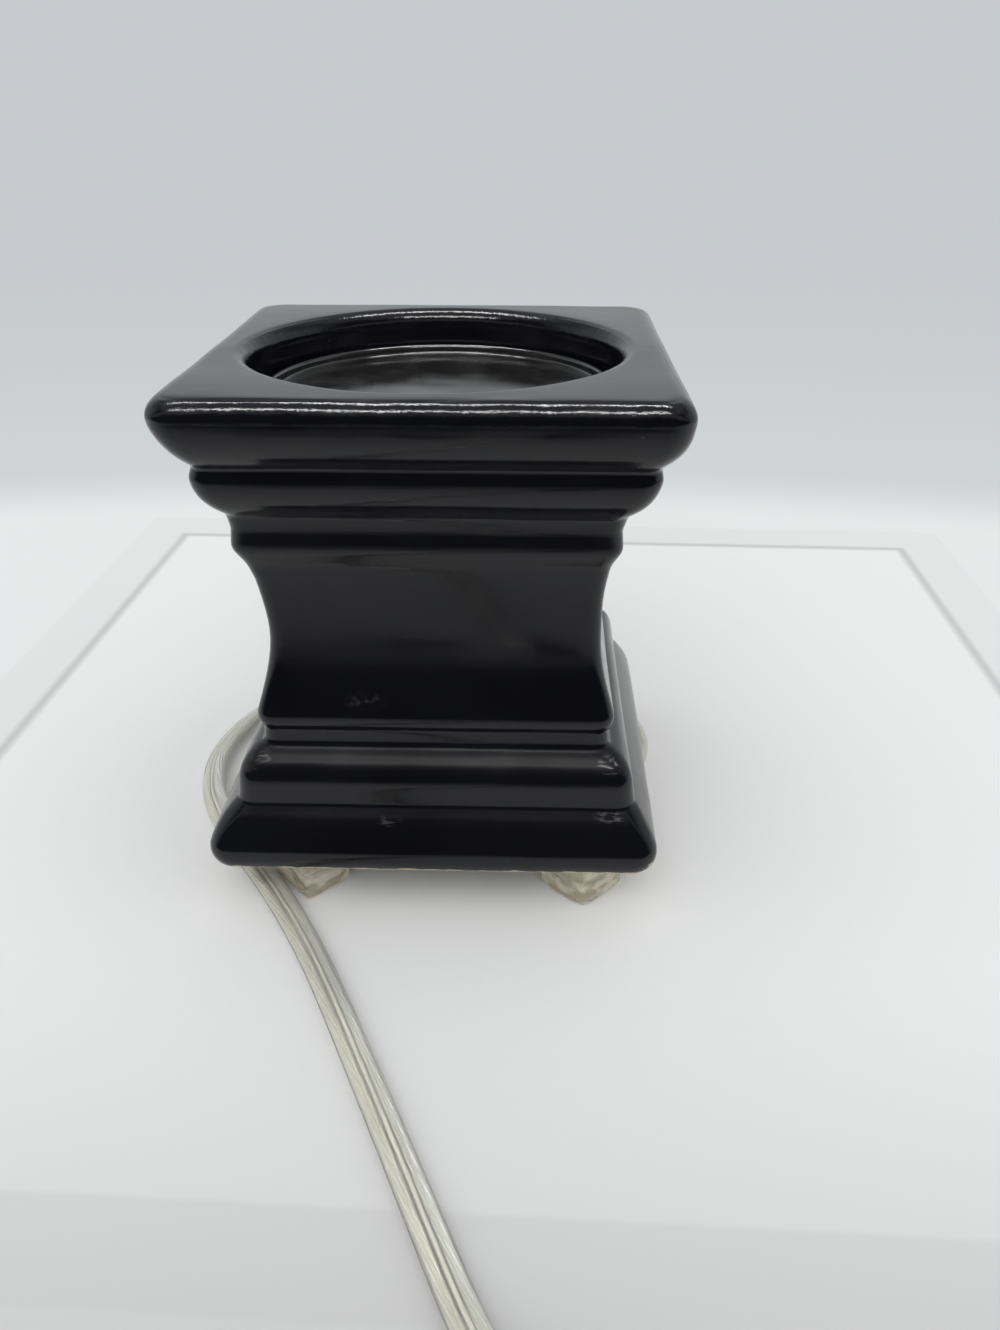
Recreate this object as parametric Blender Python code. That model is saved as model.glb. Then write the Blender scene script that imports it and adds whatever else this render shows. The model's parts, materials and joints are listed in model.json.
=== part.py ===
"""Electric wax warmer: a glazed ceramic pedestal with a round warming well in its top.

Metres, +Z up. The part stands on z = 0 on four feet, its middle is on the z axis and
its front is towards -y. A flat two-core cord leaves under the base and runs to a plug.
"""
import math

import bmesh
import bpy
from mathutils import Vector

# Fits
SEAT_GAP = 0.0003
HOLE_GAP = 0.0003
CUT_OVERRUN = 0.004

# Facets
ROUND_STEPS = 40
SMALL_STEPS = 16
HEX_STEPS = 12
CORNER_STEPS = 3
ARC_STEPS = 4
ROUTE_STEPS = 16
SHARP_ANGLE = math.radians(35)
LARGEST_CORNER = 0.999

# Feet: clear square bumpers, turned corner to the front
FOOT_SIDE = 0.0135
FOOT_HEIGHT = 0.0104
FOOT_CORNER = 0.0010
FOOT_TAPER = 0.0007
FOOT_EDGE = 0.0014
FOOT_TURN = math.radians(45)
FOOT_INSET_X = 0.0153
FOOT_INSET_Y = 0.0108
FRONT_LEFT_SHIFT = 0.0033

# Ceramic body: half widths of its base and its waist, and how far the mouldings step from them
BASE_HALF = 0.0502
WAIST_HALF = 0.0358
BASE_UNDERCUT = 0.0010
LOWER_TORUS_SETBACK = 0.0061
NECK_STEP = 0.0027
LIP_STEP = 0.0034
FLARE_STEP = 0.0022
CAPITAL_STEP = 0.0043
TOP_OVERHANG = 0.0008
UPPER_TORUS_SETBACK = 0.0049
TOP_CREASE_SETBACK = 0.0060
TOP_EDGE_WIDTH = 0.0034

# Ceramic body: its height, and the heights of its mouldings, which leave the rest to the waist
BODY_HEIGHT = 0.1066
WAIST_LOW_SHARE = 0.497
BASE_EDGE_HEIGHT = 0.0052
BASE_HEIGHT = 0.0141
LOWER_BAND_HEIGHT = 0.0032
LOWER_TORUS_HEIGHT = 0.0120
NECK_FILLET = 0.0012
NECK_HEIGHT = 0.0044
LIP_HEIGHT = 0.0038
CAPITAL_ROUND_HEIGHT = 0.0034
CAPITAL_BAND_HEIGHT = 0.0074
UPPER_ROLL_HEIGHT = 0.0094
UPPER_TORUS_HEIGHT = 0.0108
SLAB_EDGE_HEIGHT = 0.0042
SLAB_HEIGHT = 0.0145

# Ceramic body: how far each rounded moulding stands off its chord
BASE_EDGE_RISE = 0.0006
BASE_RISE = 0.0006
LOWER_TORUS_RISE = 0.0017
LIP_RISE = 0.0004
CAPITAL_RISE = 0.0005
UPPER_TORUS_RISE = 0.00135
SLAB_RISE = 0.00135
SLAB_EDGE_RISE = 0.0011
WAIST_CORNER = 0.0030
TOP_CORNER = 0.0056

# Ceramic body: its inside
WALL = 0.0052
PLATE_RIM = 0.0050
LEDGE_THICKNESS = 0.0055
LEDGE_LEAD_GAP = 0.0035

# Warming well and pan
WELL_MARGIN = 0.0074
WELL_RIM_ROUND = 0.0035
PAN_WELL_GAP = 0.0015
PAN_RIM_DEPTH = 0.0079
PAN_FLOOR_DEPTH = 0.0099
PAN_FLANGE = 0.0016
PAN_WALL_SLOPE = 0.0012
PAN_SHEET = 0.0010
PAN_BEAD = 0.0005
GASKET_THICKNESS = 0.0010
GASKET_WIDTH = 0.0045

# Heater stack under the pan
MICA_LEAD_GAP = 0.0040
MICA_THICKNESS = 0.0006
ELEMENT_DIAMETER = 0.0016
ELEMENT_ROW_SHARES = (0.86, 0.605, 0.35)
ELEMENT_REACH = 0.0010
ELEMENT_END_ANGLE = 12.0
ELEMENT_FOLD_ANGLE = 7.0
ELEMENT_STEP_ANGLE = 18.0
PRESSURE_INSET = 0.0010
PRESSURE_THICKNESS = 0.0015
SPRING_WASHER_RADIUS = 0.0042
SPRING_WASHER_THICKNESS = 0.0010
STUD_NUT_FLATS = 0.0070
STUD_NUT_HEIGHT = 0.0042
SHIELD_INSET = 0.0005
SHIELD_SHEET = 0.0008
SHIELD_DISH = 0.0030
FUSE_RADIUS = 0.0018
FUSE_LENGTH = 0.0110
FUSE_END_RADIUS = 0.0013
FUSE_END_LENGTH = 0.0005
FUSE_SHARE = 0.605
CLIP_SHEET = 0.0004
CLIP_WIDTH = 0.0040
CLIP_TOE = 0.0030

# Tie rod and its fixings
ROD_RADIUS = 0.0020
COUPLER_FLATS = 0.0070
COUPLER_LENGTH = 0.0180
COUPLER_GRIP = 0.0080
PLATE_THICKNESS = 0.0015
BASE_WASHER_RADIUS = 0.0048
BASE_WASHER_THICKNESS = 0.0008
BASE_NUT_FLATS = 0.0070
BASE_NUT_HEIGHT = 0.0030
ROD_TIP = 0.0010

# Internal wiring
LEAD_DIAMETER = 0.0018
CORE_DIAMETER = 0.0022
CORE_SPREAD = 0.0016
LEAD_WALL_GAP = 0.0051
NEUTRAL_X = 0.0054
LIVE_X = 0.0143
SPLICE_RADIUS = 0.0025
SPLICE_CRIMP = 0.0005
SPLICE_CRIMPS = ((0.0040, 0.0090), (0.0110, 0.0160))
SPLICE_CRIMP_SLOPE = 0.0010
SPLICE_LENGTH = 0.0200
SPLICE_RISE = 0.0370
WIRE_BEND = 0.0015

# Internal wiring: shares of the way from the boot to the splice in x, y and z
CORE_LOW_LEAN = (0.20, 0.35, 0.25)
CORE_HIGH_LEAN = (0.80, 0.90, 0.84)
LIVE_CORE_UPRIGHT = 0.18
NEUTRAL_CORE_UPRIGHT = 0.26
CORE_TOP_UPRIGHT = 0.05

# Strain relief boot in the base plate
BOOT_X = -0.0160
BOOT_Y = -0.0120
BOOT_STEM_RADIUS = 0.0045
BOOT_HEAD_RADIUS = 0.0068
BOOT_HEAD_HEIGHT = 0.0030
BOOT_DEPTH = 0.0070
BOOT_HALF_WIDTH = 0.0050
BOOT_HEEL = 0.0066
BOOT_HEEL_ROUND = 0.0020
BOOT_HEEL_HALF_WIDTH = 0.0035
BOOT_HEEL_HALF_HEIGHT = 0.0028
BOOT_CORNER_SHARE = 0.6
BOOT_LENGTH = 0.0300
BOOT_TIP_MARGIN = 0.0008

# Flat twin cord
CORD_WIDTH = 0.0064
CORD_THICKNESS = 0.0032
CORD_GROOVE = 0.0005
CORD_LOBE_ANGLES = (-80, -27, 27, 80)
CORD_STEP = 0.0150
CORD_LIE = 0.0017
TILTED_LIE = 0.0025

# In-line thumbwheel switch
SWITCH_START = (0.0215, -0.1646)
SWITCH_HEADING = math.radians(-65.8)
SWITCH_LENGTH = 0.0560
SWITCH_WIDTH = 0.0180
SWITCH_SHELL_HEIGHT = 0.0066
SWITCH_CORNER = 0.0080
SWITCH_EDGE = 0.0018
WHEEL_RADIUS = 0.0080
WHEEL_THICKNESS = 0.0040
WHEEL_OFFSET = 0.0050
WHEEL_CLEARANCE = 0.0006
PIN_RADIUS = 0.0015
PIN_BITE = 0.0022
CONTACT_LENGTH = 0.0160
CONTACT_SHEET = 0.0008
CONTACT_HEIGHT = 0.0044
CONTACT_WALL = 0.0012
SWITCH_SCREW_X = 0.0170
SCREW_RADIUS = 0.0014
SCREW_HEAD_RADIUS = 0.0026
SCREW_HEAD_HEIGHT = 0.0014
SCREW_BITE = 0.0040

# Coil of spare cord and its tie
COIL_CENTRE = (-0.0480, -0.2320)
COIL_RADIUS = 0.0395
COIL_PITCH = 0.0050
COIL_LAYER_GAP = 0.0006
COIL_TURNS_IN = 1.875
COIL_REVERSAL = 0.5
COIL_CLIMB_START = 0.125
COIL_CLIMB_TURNS = 0.25
COIL_POINTS_PER_TURN = 24
COIL_START_ANGLE = -90.0
TIE_ANGLE = 30.0
TIE_WIDTH = 0.0050
TIE_SHEET = 0.0008
TIE_CORNER = 0.0012

# Two-blade plug
PLUG_END = (-0.0517, -0.1790)
PLUG_TAIL_LENGTH = 0.0220
PLUG_BODY_LENGTH = 0.0240
PLUG_HALF_WIDTH = 0.0115
PLUG_HALF_HEIGHT = 0.0070
PLUG_TAIL_MARGIN = 0.0009
PLUG_NECK_HALF_WIDTH = 0.0069
PLUG_NECK_HALF_HEIGHT = 0.0049
PLUG_SHOULDER = 0.0030
PLUG_CORNER = 0.0040
PLUG_CORNER_SHARE = 0.8
BLADE_SPACING = 0.0127
BLADE_THICKNESS = 0.0015
BLADE_HEIGHT = 0.0064
BLADE_LENGTH = 0.0170
BLADE_SEAT = 0.0060
BLADE_TIP = 0.0030

# Routes of the cord that isn't coiled: x, y, z, and the cord's roll in degrees
LEAD_ROUTE = (
    (0.0285, -0.0103, 0.0046, 0), (0.0362, -0.0056, 0.0024, 0),
    (0.0435, 0.0012, CORD_LIE, 0), (0.0492, 0.0096, CORD_LIE, 0), (0.0519, 0.0190, CORD_LIE, 0),
    (0.0512, 0.0288, CORD_LIE, 0), (0.0476, 0.0386, CORD_LIE, 0), (0.0415, 0.0476, CORD_LIE, 0),
    (0.0330, 0.0550, CORD_LIE, 0), (0.0225, 0.0602, CORD_LIE, 0), (0.0100, 0.0628, CORD_LIE, 0),
    (-0.0050, 0.0632, CORD_LIE, 0), (-0.0200, 0.0610, CORD_LIE, 0), (-0.0340, 0.0560, 0.0019, 8),
    (-0.0460, 0.0486, 0.0023, 20), (-0.0545, 0.0396, TILTED_LIE, 30), (-0.0606, 0.0292, TILTED_LIE, 30),
    (-0.0641, 0.0172, TILTED_LIE, 30), (-0.0646, 0.0046, TILTED_LIE, 30), (-0.0617, -0.0080, TILTED_LIE, 30),
    (-0.0562, -0.0194, 0.0024, 24), (-0.0490, -0.0302, 0.0021, 14), (-0.0408, -0.0416, 0.0018, 5),
    (-0.0325, -0.0544, CORD_LIE, 0), (-0.0248, -0.0678, CORD_LIE, 0), (-0.0179, -0.0813, CORD_LIE, 0),
    (-0.0118, -0.0939, CORD_LIE, 0), (-0.0061, -0.1058, CORD_LIE, 0), (-0.0006, -0.1174, CORD_LIE, 0),
    (0.0052, -0.1297, CORD_LIE, 0), (0.0107, -0.1414, 0.0019, 0), (0.0148, -0.1502, 0.0040, 0),
)
LINK_ROUTE = (
    (0.0488, -0.2260, 0.0052, 0), (0.0512, -0.2372, 0.0026, 10), (0.0488, -0.2492, 0.0028, 30),
    (0.0418, -0.2596, 0.0036, 55), (0.0310, -0.2668, 0.0042, 75), (0.0170, -0.2705, 0.0046, 90),
    (0.0010, -0.2715, 0.0046, 90), (-0.0160, -0.2715, 0.0046, 90),
)
TAIL_ROUTE = (
    (-0.0858, -0.2085, 0.0094, 75), (-0.0818, -0.1980, 0.0072, 50),
    (-0.0757, -0.1890, 0.0060, 25), (-0.0678, -0.1822, 0.0062, 8),
)

# Half widths and radii that follow from the sizes above
BASE_FLAT_HALF = BASE_HALF - BASE_UNDERCUT
LOWER_TORUS_HALF = BASE_HALF - LOWER_TORUS_SETBACK
NECK_HALF = WAIST_HALF + NECK_STEP
LIP_HALF = WAIST_HALF + LIP_STEP
FLARE_HALF = WAIST_HALF + FLARE_STEP
CAPITAL_HALF = WAIST_HALF + CAPITAL_STEP
TOP_HALF = BASE_HALF + TOP_OVERHANG
UPPER_TORUS_HALF = TOP_HALF - UPPER_TORUS_SETBACK
TOP_CREASE_HALF = TOP_HALF - TOP_CREASE_SETBACK
TOP_FLAT_HALF = TOP_HALF - TOP_EDGE_WIDTH
WELL_RADIUS = TOP_FLAT_HALF - WELL_MARGIN
LEAD_Y = LEAD_WALL_GAP + WALL - WAIST_HALF
LEDGE_HOLE_RADIUS = LEDGE_LEAD_GAP - LEAD_Y
MICA_RADIUS = -LEAD_Y - MICA_LEAD_GAP
ELEMENT_ROWS = tuple(share * MICA_RADIUS for share in ELEMENT_ROW_SHARES)
PRESSURE_RADIUS = MICA_RADIUS - PRESSURE_INSET
SHIELD_RADIUS = MICA_RADIUS - SHIELD_INSET
FUSE_Y = -FUSE_SHARE * MICA_RADIUS

# Heights that follow from the sizes above
BODY_BOTTOM = FOOT_HEIGHT + SEAT_GAP
WAIST_HEIGHT = (BODY_HEIGHT - BASE_HEIGHT - LOWER_TORUS_HEIGHT - NECK_HEIGHT - LIP_HEIGHT
                - CAPITAL_ROUND_HEIGHT - CAPITAL_BAND_HEIGHT - UPPER_TORUS_HEIGHT - SLAB_HEIGHT)
LOWER_FLARE_HEIGHT = WAIST_LOW_SHARE * WAIST_HEIGHT
UPPER_FLARE_HEIGHT = WAIST_HEIGHT - LOWER_FLARE_HEIGHT
BASE_TOP = BODY_BOTTOM + BASE_HEIGHT
LOWER_TORUS_TOP = BASE_TOP + LOWER_TORUS_HEIGHT
NECK_TOP = LOWER_TORUS_TOP + NECK_HEIGHT
LIP_Z = NECK_TOP + LIP_HEIGHT
WAIST_Z = LIP_Z + LOWER_FLARE_HEIGHT
FLARE_TOP = WAIST_Z + UPPER_FLARE_HEIGHT
CAPITAL_Z = FLARE_TOP + CAPITAL_ROUND_HEIGHT
CAPITAL_TOP = CAPITAL_Z + CAPITAL_BAND_HEIGHT
UPPER_TORUS_TOP = CAPITAL_TOP + UPPER_TORUS_HEIGHT
BODY_TOP = UPPER_TORUS_TOP + SLAB_HEIGHT
PAN_FLOOR_Z = BODY_TOP - PAN_FLOOR_DEPTH
PAN_RIM_Z = BODY_TOP - PAN_RIM_DEPTH
PAN_UNDER_Z = PAN_FLOOR_Z - PAN_SHEET
LEDGE_Z = PAN_UNDER_Z - GASKET_THICKNESS - 2 * SEAT_GAP
LEDGE_UNDER_Z = LEDGE_Z - LEDGE_THICKNESS
MICA_TOP = PAN_UNDER_Z - SEAT_GAP
ELEMENT_Z = MICA_TOP - MICA_THICKNESS - SEAT_GAP - ELEMENT_DIAMETER / 2
LOWER_MICA_TOP = ELEMENT_Z - ELEMENT_DIAMETER / 2 - SEAT_GAP
PRESSURE_TOP = LOWER_MICA_TOP - MICA_THICKNESS - SEAT_GAP
PRESSURE_UNDER = PRESSURE_TOP - PRESSURE_THICKNESS
WASHER_TOP = PRESSURE_UNDER - SEAT_GAP
NUT_TOP = WASHER_TOP - SPRING_WASHER_THICKNESS - SEAT_GAP
SHIELD_TOP = NUT_TOP - STUD_NUT_HEIGHT - SEAT_GAP
COUPLER_TOP = SHIELD_TOP - SHIELD_SHEET - SEAT_GAP
COUPLER_BOTTOM = COUPLER_TOP - COUPLER_LENGTH
FUSE_Z = PRESSURE_UNDER - SEAT_GAP - FUSE_RADIUS
PLATE_BOTTOM = BODY_BOTTOM
PLATE_TOP = PLATE_BOTTOM + PLATE_THICKNESS
BASE_WASHER_TOP = PLATE_BOTTOM - SEAT_GAP
BASE_NUT_TOP = BASE_WASHER_TOP - BASE_WASHER_THICKNESS - SEAT_GAP
SPLICE_BOTTOM = BODY_BOTTOM + SPLICE_RISE
SPLICE_TOP = SPLICE_BOTTOM + SPLICE_LENGTH
BOOT_TOP = PLATE_TOP + SEAT_GAP + BOOT_HEAD_HEIGHT
BOOT_Z = PLATE_BOTTOM - SEAT_GAP - BOOT_DEPTH / 2
BOOT_TIP_X = BOOT_X + BOOT_LENGTH
SWITCH_MID = SEAT_GAP + SWITCH_SHELL_HEIGHT + SEAT_GAP / 2
COIL_LOW_Z = TIE_SHEET + 2 * SEAT_GAP + CORD_WIDTH / 2
COIL_HIGH_Z = COIL_LOW_Z + CORD_WIDTH + COIL_LAYER_GAP
COIL_TURNS = 2 * COIL_TURNS_IN + COIL_REVERSAL
PLUG_LENGTH = PLUG_TAIL_LENGTH + PLUG_BODY_LENGTH


def clear_scene():
    """Remove whatever the file holds."""
    for item in list(bpy.data.objects):
        bpy.data.objects.remove(item, do_unlink=True)


def finish(name, colour, roughness, metallic=0.0, alpha=1.0):
    """A plain finish: colour, roughness, metal or not, and how clear it is."""
    material = bpy.data.materials.new(name)
    material.use_nodes = True
    shader = material.node_tree.nodes["Principled BSDF"]
    shader.inputs["Base Color"].default_value = (*colour, 1.0)
    shader.inputs["Roughness"].default_value = roughness
    shader.inputs["Metallic"].default_value = metallic
    shader.inputs["Alpha"].default_value = alpha
    material.diffuse_color = (*colour, alpha)
    return material


GLAZE = ((0.012, 0.012, 0.014), 0.08)
COATED = ((0.015, 0.015, 0.016), 0.35)
STEEL = ((0.55, 0.55, 0.56), 0.35, 1.0)
BRASS = ((0.72, 0.55, 0.26), 0.3, 1.0)
CLEAR_VINYL = ((0.62, 0.60, 0.50), 0.2, 0.0, 0.6)
CLEAR_FOOT = ((0.70, 0.66, 0.54), 0.15, 0.0, 0.5)
MICA = ((0.58, 0.50, 0.36), 0.6)
SILICONE = ((0.45, 0.10, 0.07), 0.6)
BLACK_BOARD = ((0.03, 0.03, 0.03), 0.7)
WHITE_SLEEVE = ((0.75, 0.74, 0.70), 0.5)


def put(name, work, look, parent=None):
    """Make a named object from a bmesh, shaded smooth with sharp edges kept."""
    bmesh.ops.recalc_face_normals(work, faces=work.faces)
    mesh = bpy.data.meshes.new(name)
    work.to_mesh(mesh)
    work.free()
    mesh.shade_smooth()
    mesh.set_sharp_from_angle(angle=SHARP_ANGLE)
    item = bpy.data.objects.new(name, mesh)
    bpy.context.scene.collection.objects.link(item)
    if look:
        mesh.materials.append(finish(name, *look))
    item.parent = parent
    return item


def place(name, location, turn):
    """An empty that carries the pieces of one unit."""
    empty = bpy.data.objects.new(name, None)
    bpy.context.scene.collection.objects.link(empty)
    empty.location = location
    empty.rotation_euler = (0.0, 0.0, turn)
    return empty


def helper(item):
    """Mark an object as a cutter, a joined lump or a guide."""
    item.hide_render = True
    item.display_type = "WIRE"
    return item


def combine(target, tool, operation):
    """Cut or join a helper with a piece."""
    step = target.modifiers.new(f"{operation.lower()} {tool.name}", "BOOLEAN")
    step.operation = operation
    step.solver = "EXACT"
    step.object = helper(tool)


def cut(target, tool):
    combine(target, tool, "DIFFERENCE")


def unite(target, tool):
    combine(target, tool, "UNION")


def skin(rings, loop=False):
    """Faces between rings of equal count: capped at both ends, or closed into a loop."""
    work = bmesh.new()
    rows = [[work.verts.new(point) for point in ring] for ring in rings]
    pairs = list(zip(rows, rows[1:]))
    if loop:
        pairs.append((rows[-1], rows[0]))
    else:
        work.faces.new(rows[0])
        work.faces.new(rows[-1])
    for low, high in pairs:
        for index in range(len(low)):
            after = (index + 1) % len(low)
            work.faces.new((low[index], low[after], high[after], high[index]))
    return work


def rounded_rectangle(half_x, half_y, corner):
    """Outline of a rectangle with round corners, as flat points."""
    corner = min(corner, LARGEST_CORNER * min(half_x, half_y))
    points = []
    for quarter, (side_x, side_y) in enumerate(((1, 1), (-1, 1), (-1, -1), (1, -1))):
        for step in range(CORNER_STEPS + 1):
            angle = math.radians(90) * (quarter + step / CORNER_STEPS)
            x = side_x * (half_x - corner) + corner * math.cos(angle)
            y = side_y * (half_y - corner) + corner * math.sin(angle)
            points.append((x, y))
    return points


def level(outline, z):
    """Lay a flat outline at a height."""
    return [Vector((x, y, z)) for x, y in outline]


def upright(outline, x):
    """Stand a flat outline square to the x axis."""
    return [Vector((x, y, z)) for y, z in outline]


def square_ring(half, corner, z):
    return level(rounded_rectangle(half, half, corner), z)


def round_ring(radius, z, steps):
    angles = [math.tau * step / steps for step in range(steps)]
    return [Vector((radius * math.cos(a), radius * math.sin(a), z)) for a in angles]


def hex_ring(flats, z):
    """A hexagon with a point at each corner and in the middle of each flat."""
    ring = []
    for step in range(HEX_STEPS):
        angle = math.tau * step / HEX_STEPS
        off_flat = (angle + math.radians(30)) % math.radians(60) - math.radians(30)
        radius = flats / 2 / math.cos(off_flat)
        ring.append(Vector((radius * math.cos(angle), radius * math.sin(angle), z)))
    return ring


def turned(profile, steps, loop=False):
    """A turned solid from (radius, height) points."""
    return skin([round_ring(radius, z, steps) for radius, z in profile], loop)


def washer_profile(outer, inner, top, bottom):
    return [(outer, top), (outer, bottom), (inner, bottom), (inner, top)]


def box(low, high):
    """A plain block between two corners."""
    outline = [(low[0], low[1]), (high[0], low[1]), (high[0], high[1]), (low[0], high[1])]
    return skin([level(outline, low[2]), level(outline, high[2])])


def bow(start, end, rise, steps=ARC_STEPS):
    """Points after start on a round arc to end, standing rise to the outside of the chord."""
    start = Vector(start)
    end = Vector(end)
    chord = end - start
    outward = Vector((chord.y, -chord.x)).normalized()
    radius = (chord.length_squared / 4 + rise * rise) / (2 * rise)
    centre = (start + end) / 2 - outward * (radius - rise)
    half_angle = math.asin(chord.length / 2 / radius)
    along = chord.normalized()
    points = []
    for step in range(1, steps + 1):
        angle = half_angle * (2 * step / steps - 1)
        point = centre + outward * radius * math.cos(angle) + along * radius * math.sin(angle)
        points.append((point.x, point.y))
    return points


def hollow(half, z, steps=ARC_STEPS):
    """Points of the waist's hollow from z to the waist, on an arc upright at the waist."""
    depth = half - WAIST_HALF
    reach = z - WAIST_Z
    radius = (depth * depth + reach * reach) / (2 * depth)
    points = []
    for step in range(steps):
        height = reach * (1 - step / steps)
        width = WAIST_HALF + radius - math.sqrt(radius * radius - height * height)
        points.append((width, WAIST_Z + height))
    return points


def body_profile():
    """Half width and height of the mouldings, from the bottom face to the top face."""
    base_bulge = BODY_BOTTOM + BASE_EDGE_HEIGHT
    slab_bulge = BODY_TOP - SLAB_EDGE_HEIGHT
    torus_end = (NECK_HALF + NECK_FILLET / 2, LOWER_TORUS_TOP)
    profile = [(BASE_FLAT_HALF, BODY_BOTTOM)]
    profile += bow(profile[-1], (BASE_HALF, base_bulge), BASE_EDGE_RISE)
    profile += bow(profile[-1], (LOWER_TORUS_HALF, BASE_TOP), BASE_RISE)
    profile += [(LOWER_TORUS_HALF, BASE_TOP + LOWER_BAND_HEIGHT)]
    profile += bow(profile[-1], torus_end, LOWER_TORUS_RISE)
    profile += [(NECK_HALF, LOWER_TORUS_TOP + NECK_FILLET), (NECK_HALF, NECK_TOP)]
    profile += bow(profile[-1], (LIP_HALF, LIP_Z), LIP_RISE)
    profile += hollow(LIP_HALF, LIP_Z)[1:]
    profile += [(WAIST_HALF, WAIST_Z)]
    profile += hollow(FLARE_HALF, FLARE_TOP)[::-1]
    profile += bow(profile[-1], (CAPITAL_HALF, CAPITAL_Z), CAPITAL_RISE)
    profile += [(CAPITAL_HALF, CAPITAL_TOP)]
    profile += bow(profile[-1], (UPPER_TORUS_HALF, CAPITAL_TOP + UPPER_ROLL_HEIGHT), UPPER_TORUS_RISE)
    profile += [(TOP_CREASE_HALF, UPPER_TORUS_TOP)]
    profile += bow(profile[-1], (TOP_HALF, slab_bulge), SLAB_RISE)
    profile += bow(profile[-1], (TOP_FLAT_HALF, BODY_TOP), SLAB_EDGE_RISE)
    return profile


def corner_at(half):
    """Plan corner radius of a moulding: small at the waist, larger on the slab."""
    share = (half - WAIST_HALF) / (TOP_HALF - WAIST_HALF)
    return WAIST_CORNER + share * (TOP_CORNER - WAIST_CORNER)


def ceramic_body():
    """The glazed shell: mouldings outside, a well from above and a cavity from below."""
    rings = [square_ring(half, corner_at(half), z) for half, z in body_profile()]
    body = put("ceramic_body", skin(rings), GLAZE)

    rim = [(WELL_RADIUS + WELL_RIM_ROUND, BODY_TOP + CUT_OVERRUN)]
    for step in range(ARC_STEPS + 1):
        angle = math.radians(90) * step / ARC_STEPS
        radius = WELL_RADIUS + WELL_RIM_ROUND * (1 - math.sin(angle))
        rim.append((radius, BODY_TOP - WELL_RIM_ROUND * (1 - math.cos(angle))))
    floor = [(WELL_RADIUS, LEDGE_Z), (LEDGE_HOLE_RADIUS, LEDGE_Z)]
    floor.append((LEDGE_HOLE_RADIUS, LEDGE_UNDER_Z - CUT_OVERRUN))
    cut(body, put("cut_well", turned(rim + floor, ROUND_STEPS), None))

    plate_half = BASE_FLAT_HALF - PLATE_RIM
    opening = LOWER_TORUS_HALF - WALL
    steps = [
        (plate_half, BODY_BOTTOM - CUT_OVERRUN), (plate_half, PLATE_TOP + SEAT_GAP),
        (opening, PLATE_TOP + SEAT_GAP), (opening, BASE_TOP + LOWER_BAND_HEIGHT),
        (NECK_HALF - WALL, LOWER_TORUS_TOP), (NECK_HALF - WALL, NECK_TOP),
        (WAIST_HALF - WALL, WAIST_Z - LOWER_FLARE_HEIGHT / 2),
        (WAIST_HALF - WALL, WAIST_Z + UPPER_FLARE_HEIGHT / 2),
        (CAPITAL_HALF - WALL, CAPITAL_Z), (CAPITAL_HALF - WALL, LEDGE_UNDER_Z),
    ]
    rings = [square_ring(half, corner_at(half + WALL), z) for half, z in steps]
    cut(body, put("cut_cavity", skin(rings), None))


def warming_pan():
    """Pressed pan with sloped sides and a rolled rim, lying in the well."""
    rim_outer = WELL_RADIUS - PAN_WELL_GAP
    mouth = rim_outer - PAN_FLANGE
    floor = mouth - PAN_WALL_SLOPE
    profile = [
        (floor + PAN_SHEET / 2, PAN_UNDER_Z), (floor + PAN_SHEET, PAN_UNDER_Z + PAN_SHEET / 2),
        (mouth + PAN_SHEET, PAN_RIM_Z - PAN_BEAD - PAN_SHEET),
        (rim_outer - PAN_BEAD / 2, PAN_RIM_Z - PAN_BEAD - PAN_SHEET),
        (rim_outer, PAN_RIM_Z - PAN_BEAD), (rim_outer - PAN_BEAD, PAN_RIM_Z),
        (mouth + PAN_BEAD / 2, PAN_RIM_Z), (mouth, PAN_RIM_Z - PAN_BEAD),
        (floor, PAN_FLOOR_Z + PAN_SHEET / 2), (floor - PAN_SHEET / 2, PAN_FLOOR_Z),
    ]
    put("warming_pan", turned(profile, ROUND_STEPS), COATED)

    top = PAN_UNDER_Z - SEAT_GAP
    profile = washer_profile(floor, floor - GASKET_WIDTH, top, top - GASKET_THICKNESS)
    put("pan_gasket", turned(profile, ROUND_STEPS, loop=True), SILICONE)


def element_route():
    """One winding that runs out and back over each half of the heater."""
    fold = 90.0 - ELEMENT_FOLD_ANGLE
    stretches = []
    for row, radius in enumerate(ELEMENT_ROWS):
        ends = (-90.0 + ELEMENT_END_ANGLE, fold)
        if radius == ELEMENT_ROWS[-1]:
            ends = (-90.0 + ELEMENT_END_ANGLE, 90.0)
        stretches.append((radius, ends if row % 2 == 0 else ends[::-1]))
    tip = MICA_RADIUS + ELEMENT_REACH
    half = [(tip, -90.0 + ELEMENT_END_ANGLE)]
    for radius, (first, last) in stretches:
        count = round(abs(last - first) / ELEMENT_STEP_ANGLE)
        half += [(radius, first + (last - first) * step / count) for step in range(count + 1)]
    route = half + [(radius, 180.0 - angle) for radius, angle in half[-2::-1]]
    return [polar(radius, angle, ELEMENT_Z) for radius, angle in route]


def polar(radius, angle, z):
    turn = math.radians(angle)
    return Vector((radius * math.cos(turn), radius * math.sin(turn), z))


def tube(name, points, diameter, look, sides=2):
    """A round wire or lead through points, with closed ends."""
    curve = bpy.data.curves.new(name, "CURVE")
    curve.dimensions = "3D"
    curve.bevel_depth = diameter / 2
    curve.bevel_resolution = sides
    curve.use_fill_caps = True
    spline = curve.splines.new("POLY")
    spline.points.add(len(points) - 1)
    for place_in, point in zip(spline.points, points):
        place_in.co = (*point, 1.0)
    curve.materials.append(finish(name, *look))
    item = bpy.data.objects.new(name, curve)
    bpy.context.scene.collection.objects.link(item)
    return item


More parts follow.
